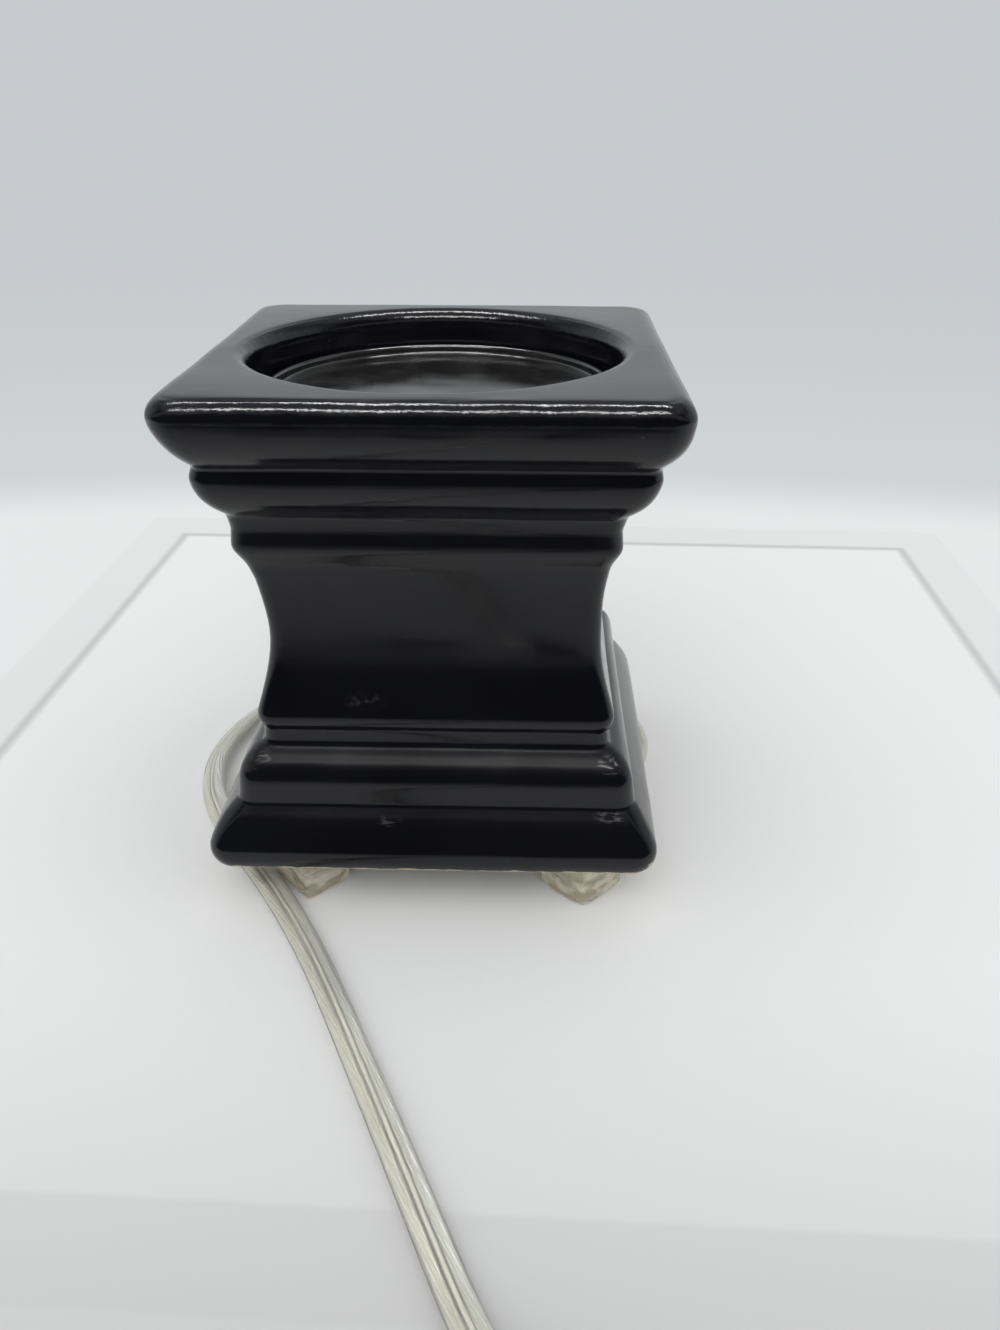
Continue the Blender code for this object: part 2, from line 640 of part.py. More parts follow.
def heater():
    """The clamped stack under the pan: stud, discs, winding, plate, washer, nut and shield."""
    bore = ROD_RADIUS + HOLE_GAP
    stud_bottom = COUPLER_TOP - COUPLER_GRIP
    stud = [(ROD_RADIUS, stud_bottom), (ROD_RADIUS, PAN_UNDER_Z - SEAT_GAP)]
    put("pan_stud", turned(stud, SMALL_STEPS), STEEL)
    for name, top in (("upper_mica", MICA_TOP), ("lower_mica", LOWER_MICA_TOP)):
        profile = washer_profile(MICA_RADIUS, bore, top, top - MICA_THICKNESS)
        put(name, turned(profile, ROUND_STEPS, loop=True), MICA)
    tube("heating_element", element_route(), ELEMENT_DIAMETER, STEEL, sides=1)
    profile = washer_profile(PRESSURE_RADIUS, bore, PRESSURE_TOP, PRESSURE_UNDER)
    put("pressure_plate", turned(profile, ROUND_STEPS, loop=True), STEEL)
    bottom = WASHER_TOP - SPRING_WASHER_THICKNESS
    profile = washer_profile(SPRING_WASHER_RADIUS, bore, WASHER_TOP, bottom)
    put("spring_washer", turned(profile, SMALL_STEPS, loop=True), STEEL)
    hex_nut("stud_nut", STUD_NUT_FLATS, NUT_TOP, STUD_NUT_HEIGHT, bore, STEEL)

    slope = SHIELD_RADIUS - SHIELD_DISH
    profile = [
        (bore, SHIELD_TOP), (slope, SHIELD_TOP), (SHIELD_RADIUS, SHIELD_TOP + SHIELD_DISH),
        (SHIELD_RADIUS + SHIELD_SHEET, SHIELD_TOP + SHIELD_DISH - SHIELD_SHEET / 2),
        (slope + SHIELD_SHEET / 2, SHIELD_TOP - SHIELD_SHEET), (bore, SHIELD_TOP - SHIELD_SHEET),
    ]
    put("heat_shield", turned(profile, ROUND_STEPS, loop=True), STEEL)


def hex_nut(name, flats, top, height, bore, look):
    """A hexagonal nut or coupler with a round bore."""
    inner_low = round_ring(bore, top - height, HEX_STEPS)
    inner_high = round_ring(bore, top, HEX_STEPS)
    rings = [hex_ring(flats, top - height), hex_ring(flats, top), inner_high, inner_low]
    put(name, skin(rings, loop=True), look)


def fuse():
    """Thermal cut-out in its clip under the pressure plate."""
    steps = [(FUSE_END_RADIUS, 0.0), (FUSE_RADIUS, FUSE_END_LENGTH)]
    steps += [(radius, FUSE_LENGTH - x) for radius, x in steps[::-1]]
    item = put("thermal_fuse", turned(steps, SMALL_STEPS), BRASS)
    item.location = (-FUSE_LENGTH / 2, FUSE_Y, FUSE_Z)
    item.rotation_euler = (0.0, math.radians(90), 0.0)

    inner = FUSE_RADIUS + SEAT_GAP
    outer = inner + CLIP_SHEET
    top = PRESSURE_UNDER - SEAT_GAP
    under = top - CLIP_SHEET
    low = FUSE_Z - inner
    toe = outer + CLIP_TOE
    outline = [
        (-toe, top), (-toe, under), (-outer, under), (-outer, low - CLIP_SHEET),
        (outer, low - CLIP_SHEET), (outer, under), (toe, under), (toe, top),
        (inner, top), (inner, low), (-inner, low), (-inner, top),
    ]
    outline = [(FUSE_Y + y, z) for y, z in outline]
    put("fuse_clip", skin([upright(outline, x) for x in (-CLIP_WIDTH / 2, CLIP_WIDTH / 2)]), STEEL)


def wiring():
    """Wires from the boot through the splices and the fuse to the two ends of the winding."""
    tip = MICA_RADIUS + ELEMENT_REACH + SEAT_GAP
    neutral_end = polar(tip, -90.0 + ELEMENT_END_ANGLE, ELEMENT_Z)
    live_end = polar(tip, -90.0 - ELEMENT_END_ANGLE, ELEMENT_Z)
    bend = WIRE_BEND
    above = SPLICE_TOP + SEAT_GAP
    below = SPLICE_BOTTOM - SEAT_GAP
    fuse_end = FUSE_LENGTH / 2 + SEAT_GAP

    tube("element_lead", [
        neutral_end, (NEUTRAL_X, LEAD_Y + bend, ELEMENT_Z), (NEUTRAL_X, LEAD_Y, ELEMENT_Z - bend),
        (NEUTRAL_X, LEAD_Y, above),
    ], LEAD_DIAMETER, WHITE_SLEEVE)
    tube("fuse_lead_out", [
        live_end, (-NEUTRAL_X, LEAD_Y + bend, ELEMENT_Z), (-NEUTRAL_X, LEAD_Y, ELEMENT_Z - bend),
        (-NEUTRAL_X - bend, LEAD_Y, FUSE_Z + bend), (-NEUTRAL_X - 2 * bend, LEAD_Y + bend, FUSE_Z),
        (-FUSE_LENGTH + bend, FUSE_Y - 2 * bend, FUSE_Z), (-FUSE_LENGTH / 2 - 2 * bend, FUSE_Y, FUSE_Z),
        (-fuse_end, FUSE_Y, FUSE_Z),
    ], LEAD_DIAMETER, WHITE_SLEEVE)
    tube("fuse_lead_in", [
        (fuse_end, FUSE_Y, FUSE_Z), (FUSE_LENGTH / 2 + 2 * bend, FUSE_Y, FUSE_Z),
        (LIVE_X - bend, FUSE_Y - 4 * bend, FUSE_Z), (LIVE_X, LEAD_Y + bend, FUSE_Z - bend),
        (LIVE_X, LEAD_Y, FUSE_Z - 4 * bend), (LIVE_X, LEAD_Y, above),
    ], LEAD_DIAMETER, WHITE_SLEEVE)

    crimp = SPLICE_RADIUS - SPLICE_CRIMP
    profile = [(SPLICE_RADIUS, SPLICE_BOTTOM)]
    for low, high in SPLICE_CRIMPS:
        low += SPLICE_BOTTOM
        high += SPLICE_BOTTOM
        profile += [(SPLICE_RADIUS, low), (crimp, low + SPLICE_CRIMP_SLOPE)]
        profile += [(crimp, high - SPLICE_CRIMP_SLOPE), (SPLICE_RADIUS, high)]
    profile.append((SPLICE_RADIUS, SPLICE_TOP))
    for name, x in (("splice_neutral", NEUTRAL_X), ("splice_live", LIVE_X)):
        item = put(name, turned(profile, SMALL_STEPS), WHITE_SLEEVE)
        item.location = (x, LEAD_Y, 0.0)

    start = BOOT_TOP + SEAT_GAP
    climb = below - start
    for name, end_x, side, straight in (
        ("core_live", LIVE_X, 1, LIVE_CORE_UPRIGHT),
        ("core_neutral", NEUTRAL_X, -1, NEUTRAL_CORE_UPRIGHT),
    ):
        x = BOOT_X + side * CORE_SPREAD
        turn = start + straight * climb
        leaning = []
        for (share_x, share_y, share_z), foot in ((CORE_LOW_LEAN, turn), (CORE_HIGH_LEAN, start)):
            lean_x = x + share_x * (end_x - x)
            lean_y = BOOT_Y + share_y * (LEAD_Y - BOOT_Y)
            leaning.append((lean_x, lean_y, foot + share_z * climb))
        tube(name, [
            (x, BOOT_Y, start), (x, BOOT_Y, turn), *leaning,
            (end_x, LEAD_Y, below - CORE_TOP_UPRIGHT * climb), (end_x, LEAD_Y, below),
        ], CORE_DIAMETER, CLEAR_VINYL)


def rod_and_plate():
    """Base plate in the ceramic's rebate, pulled up by the tie rod."""
    bore = ROD_RADIUS + HOLE_GAP
    hex_nut("rod_coupler", COUPLER_FLATS, COUPLER_TOP, COUPLER_LENGTH, bore, BRASS)
    rod_low = BASE_NUT_TOP - BASE_NUT_HEIGHT - ROD_TIP
    rod = [(ROD_RADIUS, rod_low), (ROD_RADIUS, COUPLER_BOTTOM + COUPLER_GRIP)]
    put("tie_rod", turned(rod, SMALL_STEPS), STEEL)

    half = BASE_FLAT_HALF - PLATE_RIM - SEAT_GAP
    corner = corner_at(half + WALL)
    plate = put("base_plate", skin([square_ring(half, corner, z) for z in (PLATE_BOTTOM, PLATE_TOP)]),
                BLACK_BOARD)
    for name, radius, x, y in (("cut_rod", bore, 0.0, 0.0),
                               ("cut_boot", BOOT_STEM_RADIUS + HOLE_GAP, BOOT_X, BOOT_Y)):
        profile = [(radius, PLATE_BOTTOM - CUT_OVERRUN), (radius, PLATE_TOP + CUT_OVERRUN)]
        hole = put(name, turned(profile, SMALL_STEPS), None)
        hole.location = (x, y, 0.0)
        cut(plate, hole)

    low = BASE_WASHER_TOP - BASE_WASHER_THICKNESS
    profile = washer_profile(BASE_WASHER_RADIUS, bore, BASE_WASHER_TOP, low)
    put("base_washer", turned(profile, SMALL_STEPS, loop=True), STEEL)
    hex_nut("base_nut", BASE_NUT_FLATS, BASE_NUT_TOP, BASE_NUT_HEIGHT, bore, STEEL)


def cord_boot():
    """Moulded elbow: a headed stem in the plate and a tapered tail under it."""
    half_height = BOOT_DEPTH / 2
    tip_width = CORD_WIDTH / 2 + BOOT_TIP_MARGIN
    tip_height = CORD_THICKNESS / 2 + BOOT_TIP_MARGIN
    sections = [
        (-BOOT_HEEL, BOOT_HEEL_HALF_WIDTH, BOOT_HEEL_HALF_HEIGHT),
        (BOOT_HEEL_ROUND - BOOT_HEEL, BOOT_HALF_WIDTH, half_height),
        (BOOT_HEEL, BOOT_HALF_WIDTH, half_height), (BOOT_LENGTH, tip_width, tip_height),
    ]
    rings = []
    for x, half_y, half_z in sections:
        outline = rounded_rectangle(half_y, half_z, BOOT_CORNER_SHARE * half_z)
        rings.append([Vector((x, y, z + BOOT_Z)) for y, z in outline])
    boot = put("cord_boot", skin(rings), CLEAR_VINYL)
    boot.location = (BOOT_X, BOOT_Y, 0.0)
    head_low = PLATE_TOP + SEAT_GAP
    profile = [
        (BOOT_STEM_RADIUS, BOOT_Z), (BOOT_STEM_RADIUS, head_low), (BOOT_HEAD_RADIUS, head_low),
        (BOOT_HEAD_RADIUS, BOOT_TOP - BOOT_HEAD_HEIGHT / 3), (BOOT_STEM_RADIUS, BOOT_TOP),
    ]
    stem = put("join_stem", turned(profile, SMALL_STEPS), None)
    stem.location = (BOOT_X, BOOT_Y, 0.0)
    unite(boot, stem)


def feet():
    """Four clear bumpers stuck under the corners of the base."""
    half = FOOT_SIDE / 2
    rings = [
        square_ring(half - FOOT_TAPER - FOOT_EDGE / 2, FOOT_CORNER, 0.0),
        square_ring(half - FOOT_TAPER, FOOT_CORNER, FOOT_EDGE / 2),
        square_ring(half, FOOT_CORNER, FOOT_HEIGHT - FOOT_EDGE),
        square_ring(half - FOOT_EDGE / 4, FOOT_CORNER, FOOT_HEIGHT),
    ]
    x = BASE_FLAT_HALF - FOOT_INSET_X
    y = BASE_FLAT_HALF - FOOT_INSET_Y
    spots = {
        "foot_front_left": (-x + FRONT_LEFT_SHIFT, -y), "foot_front_right": (x, -y),
        "foot_rear_left": (-x, y), "foot_rear_right": (x, y),
    }
    for name, (foot_x, foot_y) in spots.items():
        foot = put(name, skin(rings), CLEAR_FOOT)
        foot.location = (foot_x, foot_y, 0.0)
        foot.rotation_euler = (0.0, 0.0, FOOT_TURN)


def cord_section():
    """Outline of the flat cord: two round cores side by side with a groove between."""
    lobe = CORD_THICKNESS / 2
    middle = CORD_WIDTH / 2 - lobe
    groove = lobe - CORD_GROOVE
    right = [(middle + lobe * math.cos(a), lobe * math.sin(a))
             for a in map(math.radians, CORD_LOBE_ANGLES)]
    left = [(-x, -y) for x, y in right]
    outline = [*right, (0.0, groove), *left, (0.0, -groove)][::-1]
    curve = bpy.data.curves.new("cord_section", "CURVE")
    curve.dimensions = "2D"
    spline = curve.splines.new("POLY")
    spline.points.add(len(outline) - 1)
    spline.use_cyclic_u = True
    for place_in, (x, y) in zip(spline.points, outline):
        place_in.co = (x, y, 0.0, 1.0)
    guide = bpy.data.objects.new("cord_section", curve)
    bpy.context.scene.collection.objects.link(guide)
    return helper(guide)


def flat_cord(name, points, section):
    """A stretch of flat cord through (x, y, z, roll in degrees) points."""
    curve = bpy.data.curves.new(name, "CURVE")
    curve.dimensions = "3D"
    curve.twist_mode = "Z_UP"
    curve.bevel_mode = "OBJECT"
    curve.bevel_object = section
    curve.use_fill_caps = True
    spline = curve.splines.new("POLY")
    spline.points.add(len(points) - 1)
    for place_in, (x, y, z, roll) in zip(spline.points, points):
        place_in.co = (x, y, z, 1.0)
        place_in.tilt = math.radians(roll)
    curve.materials.append(finish(name, *CLEAR_VINYL))
    item = bpy.data.objects.new(name, curve)
    bpy.context.scene.collection.objects.link(item)


def smooth_route(route, step=CORD_STEP):
    """Even points on a smooth curve through a route, with its first and last runs left straight."""
    knots = [Vector(point) for point in route]
    fine = []
    for before, first, last, after in zip(knots, knots[1:], knots[2:], knots[3:]):
        for piece in range(ROUTE_STEPS):
            t = piece / ROUTE_STEPS
            slope = (last - before) / 2
            pull = before - 2.5 * first + 2 * last - after / 2
            swing = (3 * first - before - 3 * last + after) / 2
            fine.append(first + t * (slope + t * (pull + t * swing)))
    fine.append(knots[-2])
    lengths = [0.0]
    for first, last in zip(fine, fine[1:]):
        lengths.append(lengths[-1] + (last.xyz - first.xyz).length)
    count = max(2, round(lengths[-1] / step))
    points = []
    index = 0
    for number in range(count):
        wanted = lengths[-1] * number / count
        while lengths[index + 1] < wanted:
            index += 1
        share = (wanted - lengths[index]) / (lengths[index + 1] - lengths[index])
        points.append(fine[index].lerp(fine[index + 1], share))
    return [knots[0], *points, fine[-1], knots[-1]]


def stretch(start, leave, route, end, arrive):
    """Cord between two faces, square to each of them for one cord width."""
    start = Vector(start)
    end = Vector(end)
    leave = CORD_WIDTH * Vector((*leave, 0.0))
    arrive = CORD_WIDTH * Vector((*arrive, 0.0))
    return smooth_route([start, start + leave, *route, end - arrive, end])


def coil_points():
    """The coil's path: in on the lower layer, up at the reversal, out on the upper one."""
    steps = round(COIL_TURNS * COIL_POINTS_PER_TURN)
    centre = Vector((*COIL_CENTRE, 0.0))
    points = []
    for step in range(steps + 1):
        turn = COIL_TURNS * step / steps
        inward = min(turn, COIL_TURNS - turn)
        climb = (turn - COIL_TURNS_IN - COIL_CLIMB_START) / COIL_CLIMB_TURNS
        climb = min(1.0, max(0.0, climb))
        climb = climb * climb * (3 - 2 * climb)
        z = COIL_LOW_Z + climb * (COIL_HIGH_Z - COIL_LOW_Z)
        radius = COIL_RADIUS - COIL_PITCH * inward
        points.append(centre + polar(radius, COIL_START_ANGLE - 360.0 * turn, z))
    first = points[0] - CORD_WIDTH * coil_heading(0.0)
    last = points[-1] + CORD_WIDTH * coil_heading(COIL_TURNS)
    return [first, *points, last]


def coil_heading(turn):
    """Direction of travel at a turn: the coil is wound clockwise."""
    return polar(1.0, COIL_START_ANGLE - 360.0 * turn - 90.0, 0.0)


def report_coil_gap(points):
    """Print the least gap between turns, for a cord lying on edge."""
    centre = Vector((*COIL_CENTRE, 0.0))
    wound = points[1:-1]
    least = CORD_WIDTH
    for index, first in enumerate(wound):
        for last in wound[index + COIL_POINTS_PER_TURN // 2:]:
            across = (first - centre).xy.length - (last - centre).xy.length
            apart = (first - centre).xy.angle((last - centre).xy)
            if apart > math.tau / COIL_POINTS_PER_TURN:
                continue
            side = max(0.0, abs(across) - CORD_THICKNESS)
            above = max(0.0, abs(first.z - last.z) - CORD_WIDTH)
            least = min(least, math.hypot(side, above))
    print(f"least gap between the coil's turns: {least * 1000:.2f} mm")


def cord():
    """The cord from the boot to the switch, on to the coil, round it and on to the plug."""
    section = cord_section()
    forward = Vector((1.0, 0.0, 0.0))
    heading = Vector((math.cos(SWITCH_HEADING), math.sin(SWITCH_HEADING), 0.0))
    boot_tip = (BOOT_TIP_X + SEAT_GAP, BOOT_Y, BOOT_Z, 0)
    middle = Vector((*SWITCH_START, SWITCH_MID))
    near = (*(middle - SEAT_GAP * heading), 0)
    far = (*(middle + (SWITCH_LENGTH + SEAT_GAP) * heading), 0)
    flat_cord("cord_lead", stretch(boot_tip, forward, LEAD_ROUTE, near, heading), section)

    coil = coil_points()
    report_coil_gap(coil)
    flat_cord("cord_coil", [(*point, 90) for point in coil], section)
    enter = coil_heading(0.0)
    depart = coil_heading(COIL_TURNS)
    coil_in = (*(coil[0] - SEAT_GAP * enter), 90)
    coil_out = (*(coil[-1] + SEAT_GAP * depart), 90)
    flat_cord("cord_link", stretch(far, heading, LINK_ROUTE, coil_in, enter), section)
    plug_tip = (PLUG_END[0] - SEAT_GAP, PLUG_END[1], PLUG_HALF_HEIGHT + SEAT_GAP, 0)
    flat_cord("cord_tail", stretch(coil_out, depart, TAIL_ROUTE, plug_tip, forward), section)
    coil_tie(coil)


def coil_tie(coil):
    """A band round the bundle of turns."""
    centre = Vector((*COIL_CENTRE, 0.0))
    toward = polar(1.0, TIE_ANGLE, 0.0)
    radii = []
    for point in coil[1:-1]:
        arm = point - centre
        if arm.xy.angle(toward.xy) < math.tau / COIL_POINTS_PER_TURN:
            radii.append(arm.xy.length)
    inner = min(radii) - CORD_THICKNESS / 2 - SEAT_GAP
    outer = max(radii) + CORD_THICKNESS / 2 + SEAT_GAP
    low = COIL_LOW_Z - CORD_WIDTH / 2 - SEAT_GAP
    high = COIL_HIGH_Z + CORD_WIDTH / 2 + SEAT_GAP
    half_x = (outer - inner) / 2
    half_z = (high - low) / 2
    middle = Vector(((inner + outer) / 2, 0.0, (low + high) / 2))
    hole = rounded_rectangle(half_x, half_z, TIE_CORNER)
    band = rounded_rectangle(half_x + TIE_SHEET, half_z + TIE_SHEET, TIE_CORNER + TIE_SHEET)
    rings = []
    for outline, y in ((band, -TIE_WIDTH / 2), (band, TIE_WIDTH / 2),
                       (hole, TIE_WIDTH / 2), (hole, -TIE_WIDTH / 2)):
        rings.append([middle + Vector((x, y, z)) for x, z in outline])
    tie = put("coil_tie", skin(rings, loop=True), BLACK_BOARD)
    tie.location = centre
    tie.rotation_euler = (0.0, 0.0, math.radians(TIE_ANGLE))


def switch():
    """In-line switch: two shells round a thumbwheel on a pin, a contact and a screw."""
    spot = place("switch_place", (*SWITCH_START, 0.0), SWITCH_HEADING)
    half_length = SWITCH_LENGTH / 2
    half_width = SWITCH_WIDTH / 2
    lower_top = SEAT_GAP + SWITCH_SHELL_HEIGHT
    upper_low = lower_top + SEAT_GAP
    top = upper_low + SWITCH_SHELL_HEIGHT
    pocket_half = WHEEL_THICKNESS / 2 + WHEEL_CLEARANCE / 2
    shells = []
    for name, levels in (
        ("switch_lower_shell", ((SWITCH_EDGE, SEAT_GAP), (0.0, SEAT_GAP + SWITCH_EDGE), (0.0, lower_top))),
        ("switch_upper_shell", ((0.0, upper_low), (0.0, top - SWITCH_EDGE), (SWITCH_EDGE, top))),
    ):
        rings = []
        for inset, z in levels:
            outline = rounded_rectangle(half_length - inset, half_width - inset, SWITCH_CORNER - inset)
            rings.append([Vector((half_length + x, y, z)) for x, y in outline])
        shells.append(put(name, skin(rings), CLEAR_VINYL, spot))

    wheel_spot = (half_length, WHEEL_OFFSET, SWITCH_MID)
    wheel_half = WHEEL_THICKNESS / 2
    profile = washer_profile(WHEEL_RADIUS, PIN_RADIUS + HOLE_GAP, wheel_half, -wheel_half)
    wheel = put("switch_wheel", turned(profile, ROUND_STEPS, loop=True), WHITE_SLEEVE, spot)
    wheel.location = wheel_spot
    pin_half = pocket_half + PIN_BITE
    pin = put("switch_pin", turned([(PIN_RADIUS, -pin_half), (PIN_RADIUS, pin_half)], SMALL_STEPS),
              STEEL, spot)
    pin.location = wheel_spot

    contact_y = WHEEL_OFFSET - WHEEL_RADIUS - WHEEL_CLEARANCE - CONTACT_WALL - CONTACT_SHEET
    contact_half = (CONTACT_LENGTH / 2, CONTACT_SHEET / 2, CONTACT_HEIGHT / 2)
    contact = put("switch_contact", box([-s for s in contact_half], contact_half), BRASS, spot)
    contact.location = (half_length, contact_y, SWITCH_MID)

    screw_spot = (half_length + SWITCH_SCREW_X, 0.0, 0.0)
    head_low = top - SCREW_HEAD_HEIGHT
    shank_low = upper_low - SCREW_BITE
    profile = [(SCREW_RADIUS, shank_low), (SCREW_RADIUS, head_low), (SCREW_HEAD_RADIUS, head_low),
               (SCREW_HEAD_RADIUS, top)]
    screw = put("switch_screw", turned(profile, SMALL_STEPS), STEEL, spot)
    screw.location = screw_spot

    room = WHEEL_RADIUS + WHEEL_CLEARANCE
    hole = PIN_RADIUS + HOLE_GAP
    bite = pin_half + SEAT_GAP
    slot_half = [s + SEAT_GAP for s in contact_half]
    head = SCREW_HEAD_RADIUS + HOLE_GAP
    shank = SCREW_RADIUS + HOLE_GAP
    cutters = [
        ("cut_wheel", turned([(room, -pocket_half), (room, pocket_half)], ROUND_STEPS), wheel_spot),
        ("cut_pin", turned([(hole, -bite), (hole, bite)], SMALL_STEPS), wheel_spot),
        ("cut_contact", box([-s for s in slot_half], slot_half), contact.location),
        ("cut_screw", turned([
            (shank, shank_low - SEAT_GAP), (shank, head_low - SEAT_GAP), (head, head_low - SEAT_GAP),
            (head, top + CUT_OVERRUN),
        ], SMALL_STEPS), screw_spot),
    ]
    for name, work, where in cutters:
        tool = put(name, work, None, spot)
        tool.location = where
        for shell in shells:
            cut(shell, tool)


def plug():
    """Moulded plug with a tapered tail and two flat blades seated in its face."""
    spot = place("plug_place", (*PLUG_END, PLUG_HALF_HEIGHT + SEAT_GAP), 0.0)
    tail_y = CORD_WIDTH / 2 + PLUG_TAIL_MARGIN
    tail_z = CORD_THICKNESS / 2 + PLUG_TAIL_MARGIN
    sections = [
        (0.0, tail_y, tail_z), (PLUG_TAIL_LENGTH, PLUG_NECK_HALF_WIDTH, PLUG_NECK_HALF_HEIGHT),
        (PLUG_TAIL_LENGTH + PLUG_SHOULDER, PLUG_HALF_WIDTH, PLUG_HALF_HEIGHT),
        (PLUG_LENGTH - PLUG_SHOULDER / 2, PLUG_HALF_WIDTH, PLUG_HALF_HEIGHT),
        (PLUG_LENGTH, PLUG_HALF_WIDTH - PLUG_SHOULDER / 2, PLUG_HALF_HEIGHT - PLUG_SHOULDER / 2),
    ]
    rings = []
    for x, half_y, half_z in sections:
        corner = min(PLUG_CORNER, PLUG_CORNER_SHARE * half_z)
        rings.append(upright(rounded_rectangle(half_y, half_z, corner), x))
    body = put("plug_body", skin(rings), CLEAR_VINYL, spot)
    for name, side in (("left", 1), ("right", -1)):
        y = side * BLADE_SPACING / 2
        half_y = BLADE_THICKNESS / 2
        half_z = BLADE_HEIGHT / 2
        start = PLUG_LENGTH - BLADE_SEAT
        end = PLUG_LENGTH + BLADE_LENGTH
        outline = [(start, -half_z), (end - BLADE_TIP, -half_z), (end, -half_z / 2),
                   (end, half_z / 2), (end - BLADE_TIP, half_z), (start, half_z)]
        rings = [[Vector((x, y + offset, z)) for x, z in outline] for offset in (-half_y, half_y)]
        put(f"plug_blade_{name}", skin(rings), BRASS, spot)
        low = (start - SEAT_GAP, y - half_y - SEAT_GAP, -half_z - SEAT_GAP)
        high = (PLUG_LENGTH + CUT_OVERRUN, y + half_y + SEAT_GAP, half_z + SEAT_GAP)
        cut(body, put(f"cut_blade_{name}", box(low, high), None, spot))


def main():
    clear_scene()
    ceramic_body()
    warming_pan()
    heater()
    fuse()
    wiring()
    rod_and_plate()
    cord_boot()
    feet()
    cord()
    switch()
    plug()


main()
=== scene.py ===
"""Looks of an electric wax warmer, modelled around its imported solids.

The file is laid out as a Blender add-on: sizes and colours are properties, each group of
pieces has an operator, and one panel lists them. Run as a script, it makes every piece in
order. Metres, +Z up, with the warmer standing on z = 0 and its front towards -y.
"""
import json
import math
from types import SimpleNamespace

import bmesh
import bpy
from bpy.props import FloatProperty, FloatVectorProperty, IntProperty, PointerProperty
from bpy.types import NodeSocket, Operator, Panel, PropertyGroup
from mathutils import Matrix, Vector, noise

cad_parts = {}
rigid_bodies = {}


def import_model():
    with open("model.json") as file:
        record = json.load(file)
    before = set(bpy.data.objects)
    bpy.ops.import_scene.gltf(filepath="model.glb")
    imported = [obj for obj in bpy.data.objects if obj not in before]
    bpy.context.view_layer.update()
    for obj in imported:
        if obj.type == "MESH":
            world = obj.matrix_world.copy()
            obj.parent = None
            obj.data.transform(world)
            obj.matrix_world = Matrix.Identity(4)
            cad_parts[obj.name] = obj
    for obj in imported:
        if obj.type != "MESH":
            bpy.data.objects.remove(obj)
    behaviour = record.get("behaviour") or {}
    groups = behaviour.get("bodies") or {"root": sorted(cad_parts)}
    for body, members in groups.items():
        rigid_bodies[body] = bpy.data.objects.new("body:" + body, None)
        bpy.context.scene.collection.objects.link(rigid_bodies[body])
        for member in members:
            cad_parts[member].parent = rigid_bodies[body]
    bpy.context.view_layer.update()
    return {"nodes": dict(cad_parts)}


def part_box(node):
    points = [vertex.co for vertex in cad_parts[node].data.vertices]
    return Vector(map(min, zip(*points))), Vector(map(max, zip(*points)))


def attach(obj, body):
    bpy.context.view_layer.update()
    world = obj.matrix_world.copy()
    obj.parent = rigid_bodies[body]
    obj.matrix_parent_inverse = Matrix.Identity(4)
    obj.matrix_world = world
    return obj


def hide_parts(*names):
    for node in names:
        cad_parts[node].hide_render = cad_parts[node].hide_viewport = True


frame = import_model()

bl_info = {
    "name": "Wax Warmer Looks",
    "version": (1, 0, 0),
    "blender": (4, 5, 0),
    "location": "View3D > Sidebar > Warmer",
    "description": "Makes the visible pieces of an electric wax warmer around its solids",
    "category": "Object",
}

HOUSING = "warmer"
WHEEL = "thumbwheel"

# Facets and fits
CORNER_STEPS = 8
SIDE_STEPS = 36
FINE_STEP = 0.00012
BLUR_REACH = 3  # a crease's rounding counts out to so many of its lengths
RING_TURN = math.radians(5)
RING_RUN = 0.0024
ROUND_STEPS = 128
CURVE_STEPS = 24
ROUTE_STEPS = 24
SHARP_ANGLE = math.radians(38)
SEAT_GAP = 0.0003
FLOOR_GAP = 0.0002

# Routes of the cord that isn't coiled: x, y, z, and the cord's roll in degrees
LIE = 0.0017
TILTED_LIE = 0.0025
LEAD_ROUTE = (
    (0.0285, -0.0103, 0.0046, 0), (0.0362, -0.0056, 0.0024, 0), (0.0435, 0.0012, LIE, 0),
    (0.0492, 0.0096, LIE, 0), (0.0519, 0.0190, LIE, 0), (0.0512, 0.0288, LIE, 0),
    (0.0476, 0.0386, LIE, 0), (0.0415, 0.0476, LIE, 0), (0.0330, 0.0550, LIE, 0),
    (0.0225, 0.0602, LIE, 0), (0.0100, 0.0628, LIE, 0), (-0.0050, 0.0632, LIE, 0),
    (-0.0200, 0.0610, LIE, 0), (-0.0340, 0.0560, 0.0019, 8), (-0.0460, 0.0486, 0.0023, 20),
    (-0.0545, 0.0396, TILTED_LIE, 30), (-0.0606, 0.0292, TILTED_LIE, 30),
    (-0.0641, 0.0172, TILTED_LIE, 30), (-0.0646, 0.0046, TILTED_LIE, 30),
    (-0.0617, -0.0080, TILTED_LIE, 30), (-0.0562, -0.0194, 0.0024, 24),
    (-0.0490, -0.0302, 0.0021, 14), (-0.0408, -0.0416, 0.0018, 5), (-0.0325, -0.0544, LIE, 0),
    (-0.0248, -0.0678, LIE, 0), (-0.0179, -0.0813, LIE, 0), (-0.0118, -0.0939, LIE, 0),
    (-0.0061, -0.1058, LIE, 0), (-0.0006, -0.1174, LIE, 0), (0.0052, -0.1297, LIE, 0),
    (0.0107, -0.1414, 0.0019, 0), (0.0148, -0.1502, 0.0040, 0),
)
LINK_ROUTE = (
    (0.0488, -0.2260, 0.0052, 0), (0.0512, -0.2372, 0.0026, 10), (0.0488, -0.2492, 0.0028, 30),
    (0.0418, -0.2596, 0.0036, 55), (0.0310, -0.2668, 0.0042, 75), (0.0170, -0.2705, 0.0046, 90),
    (0.0010, -0.2715, 0.0046, 90), (-0.0160, -0.2715, 0.0046, 90),
)
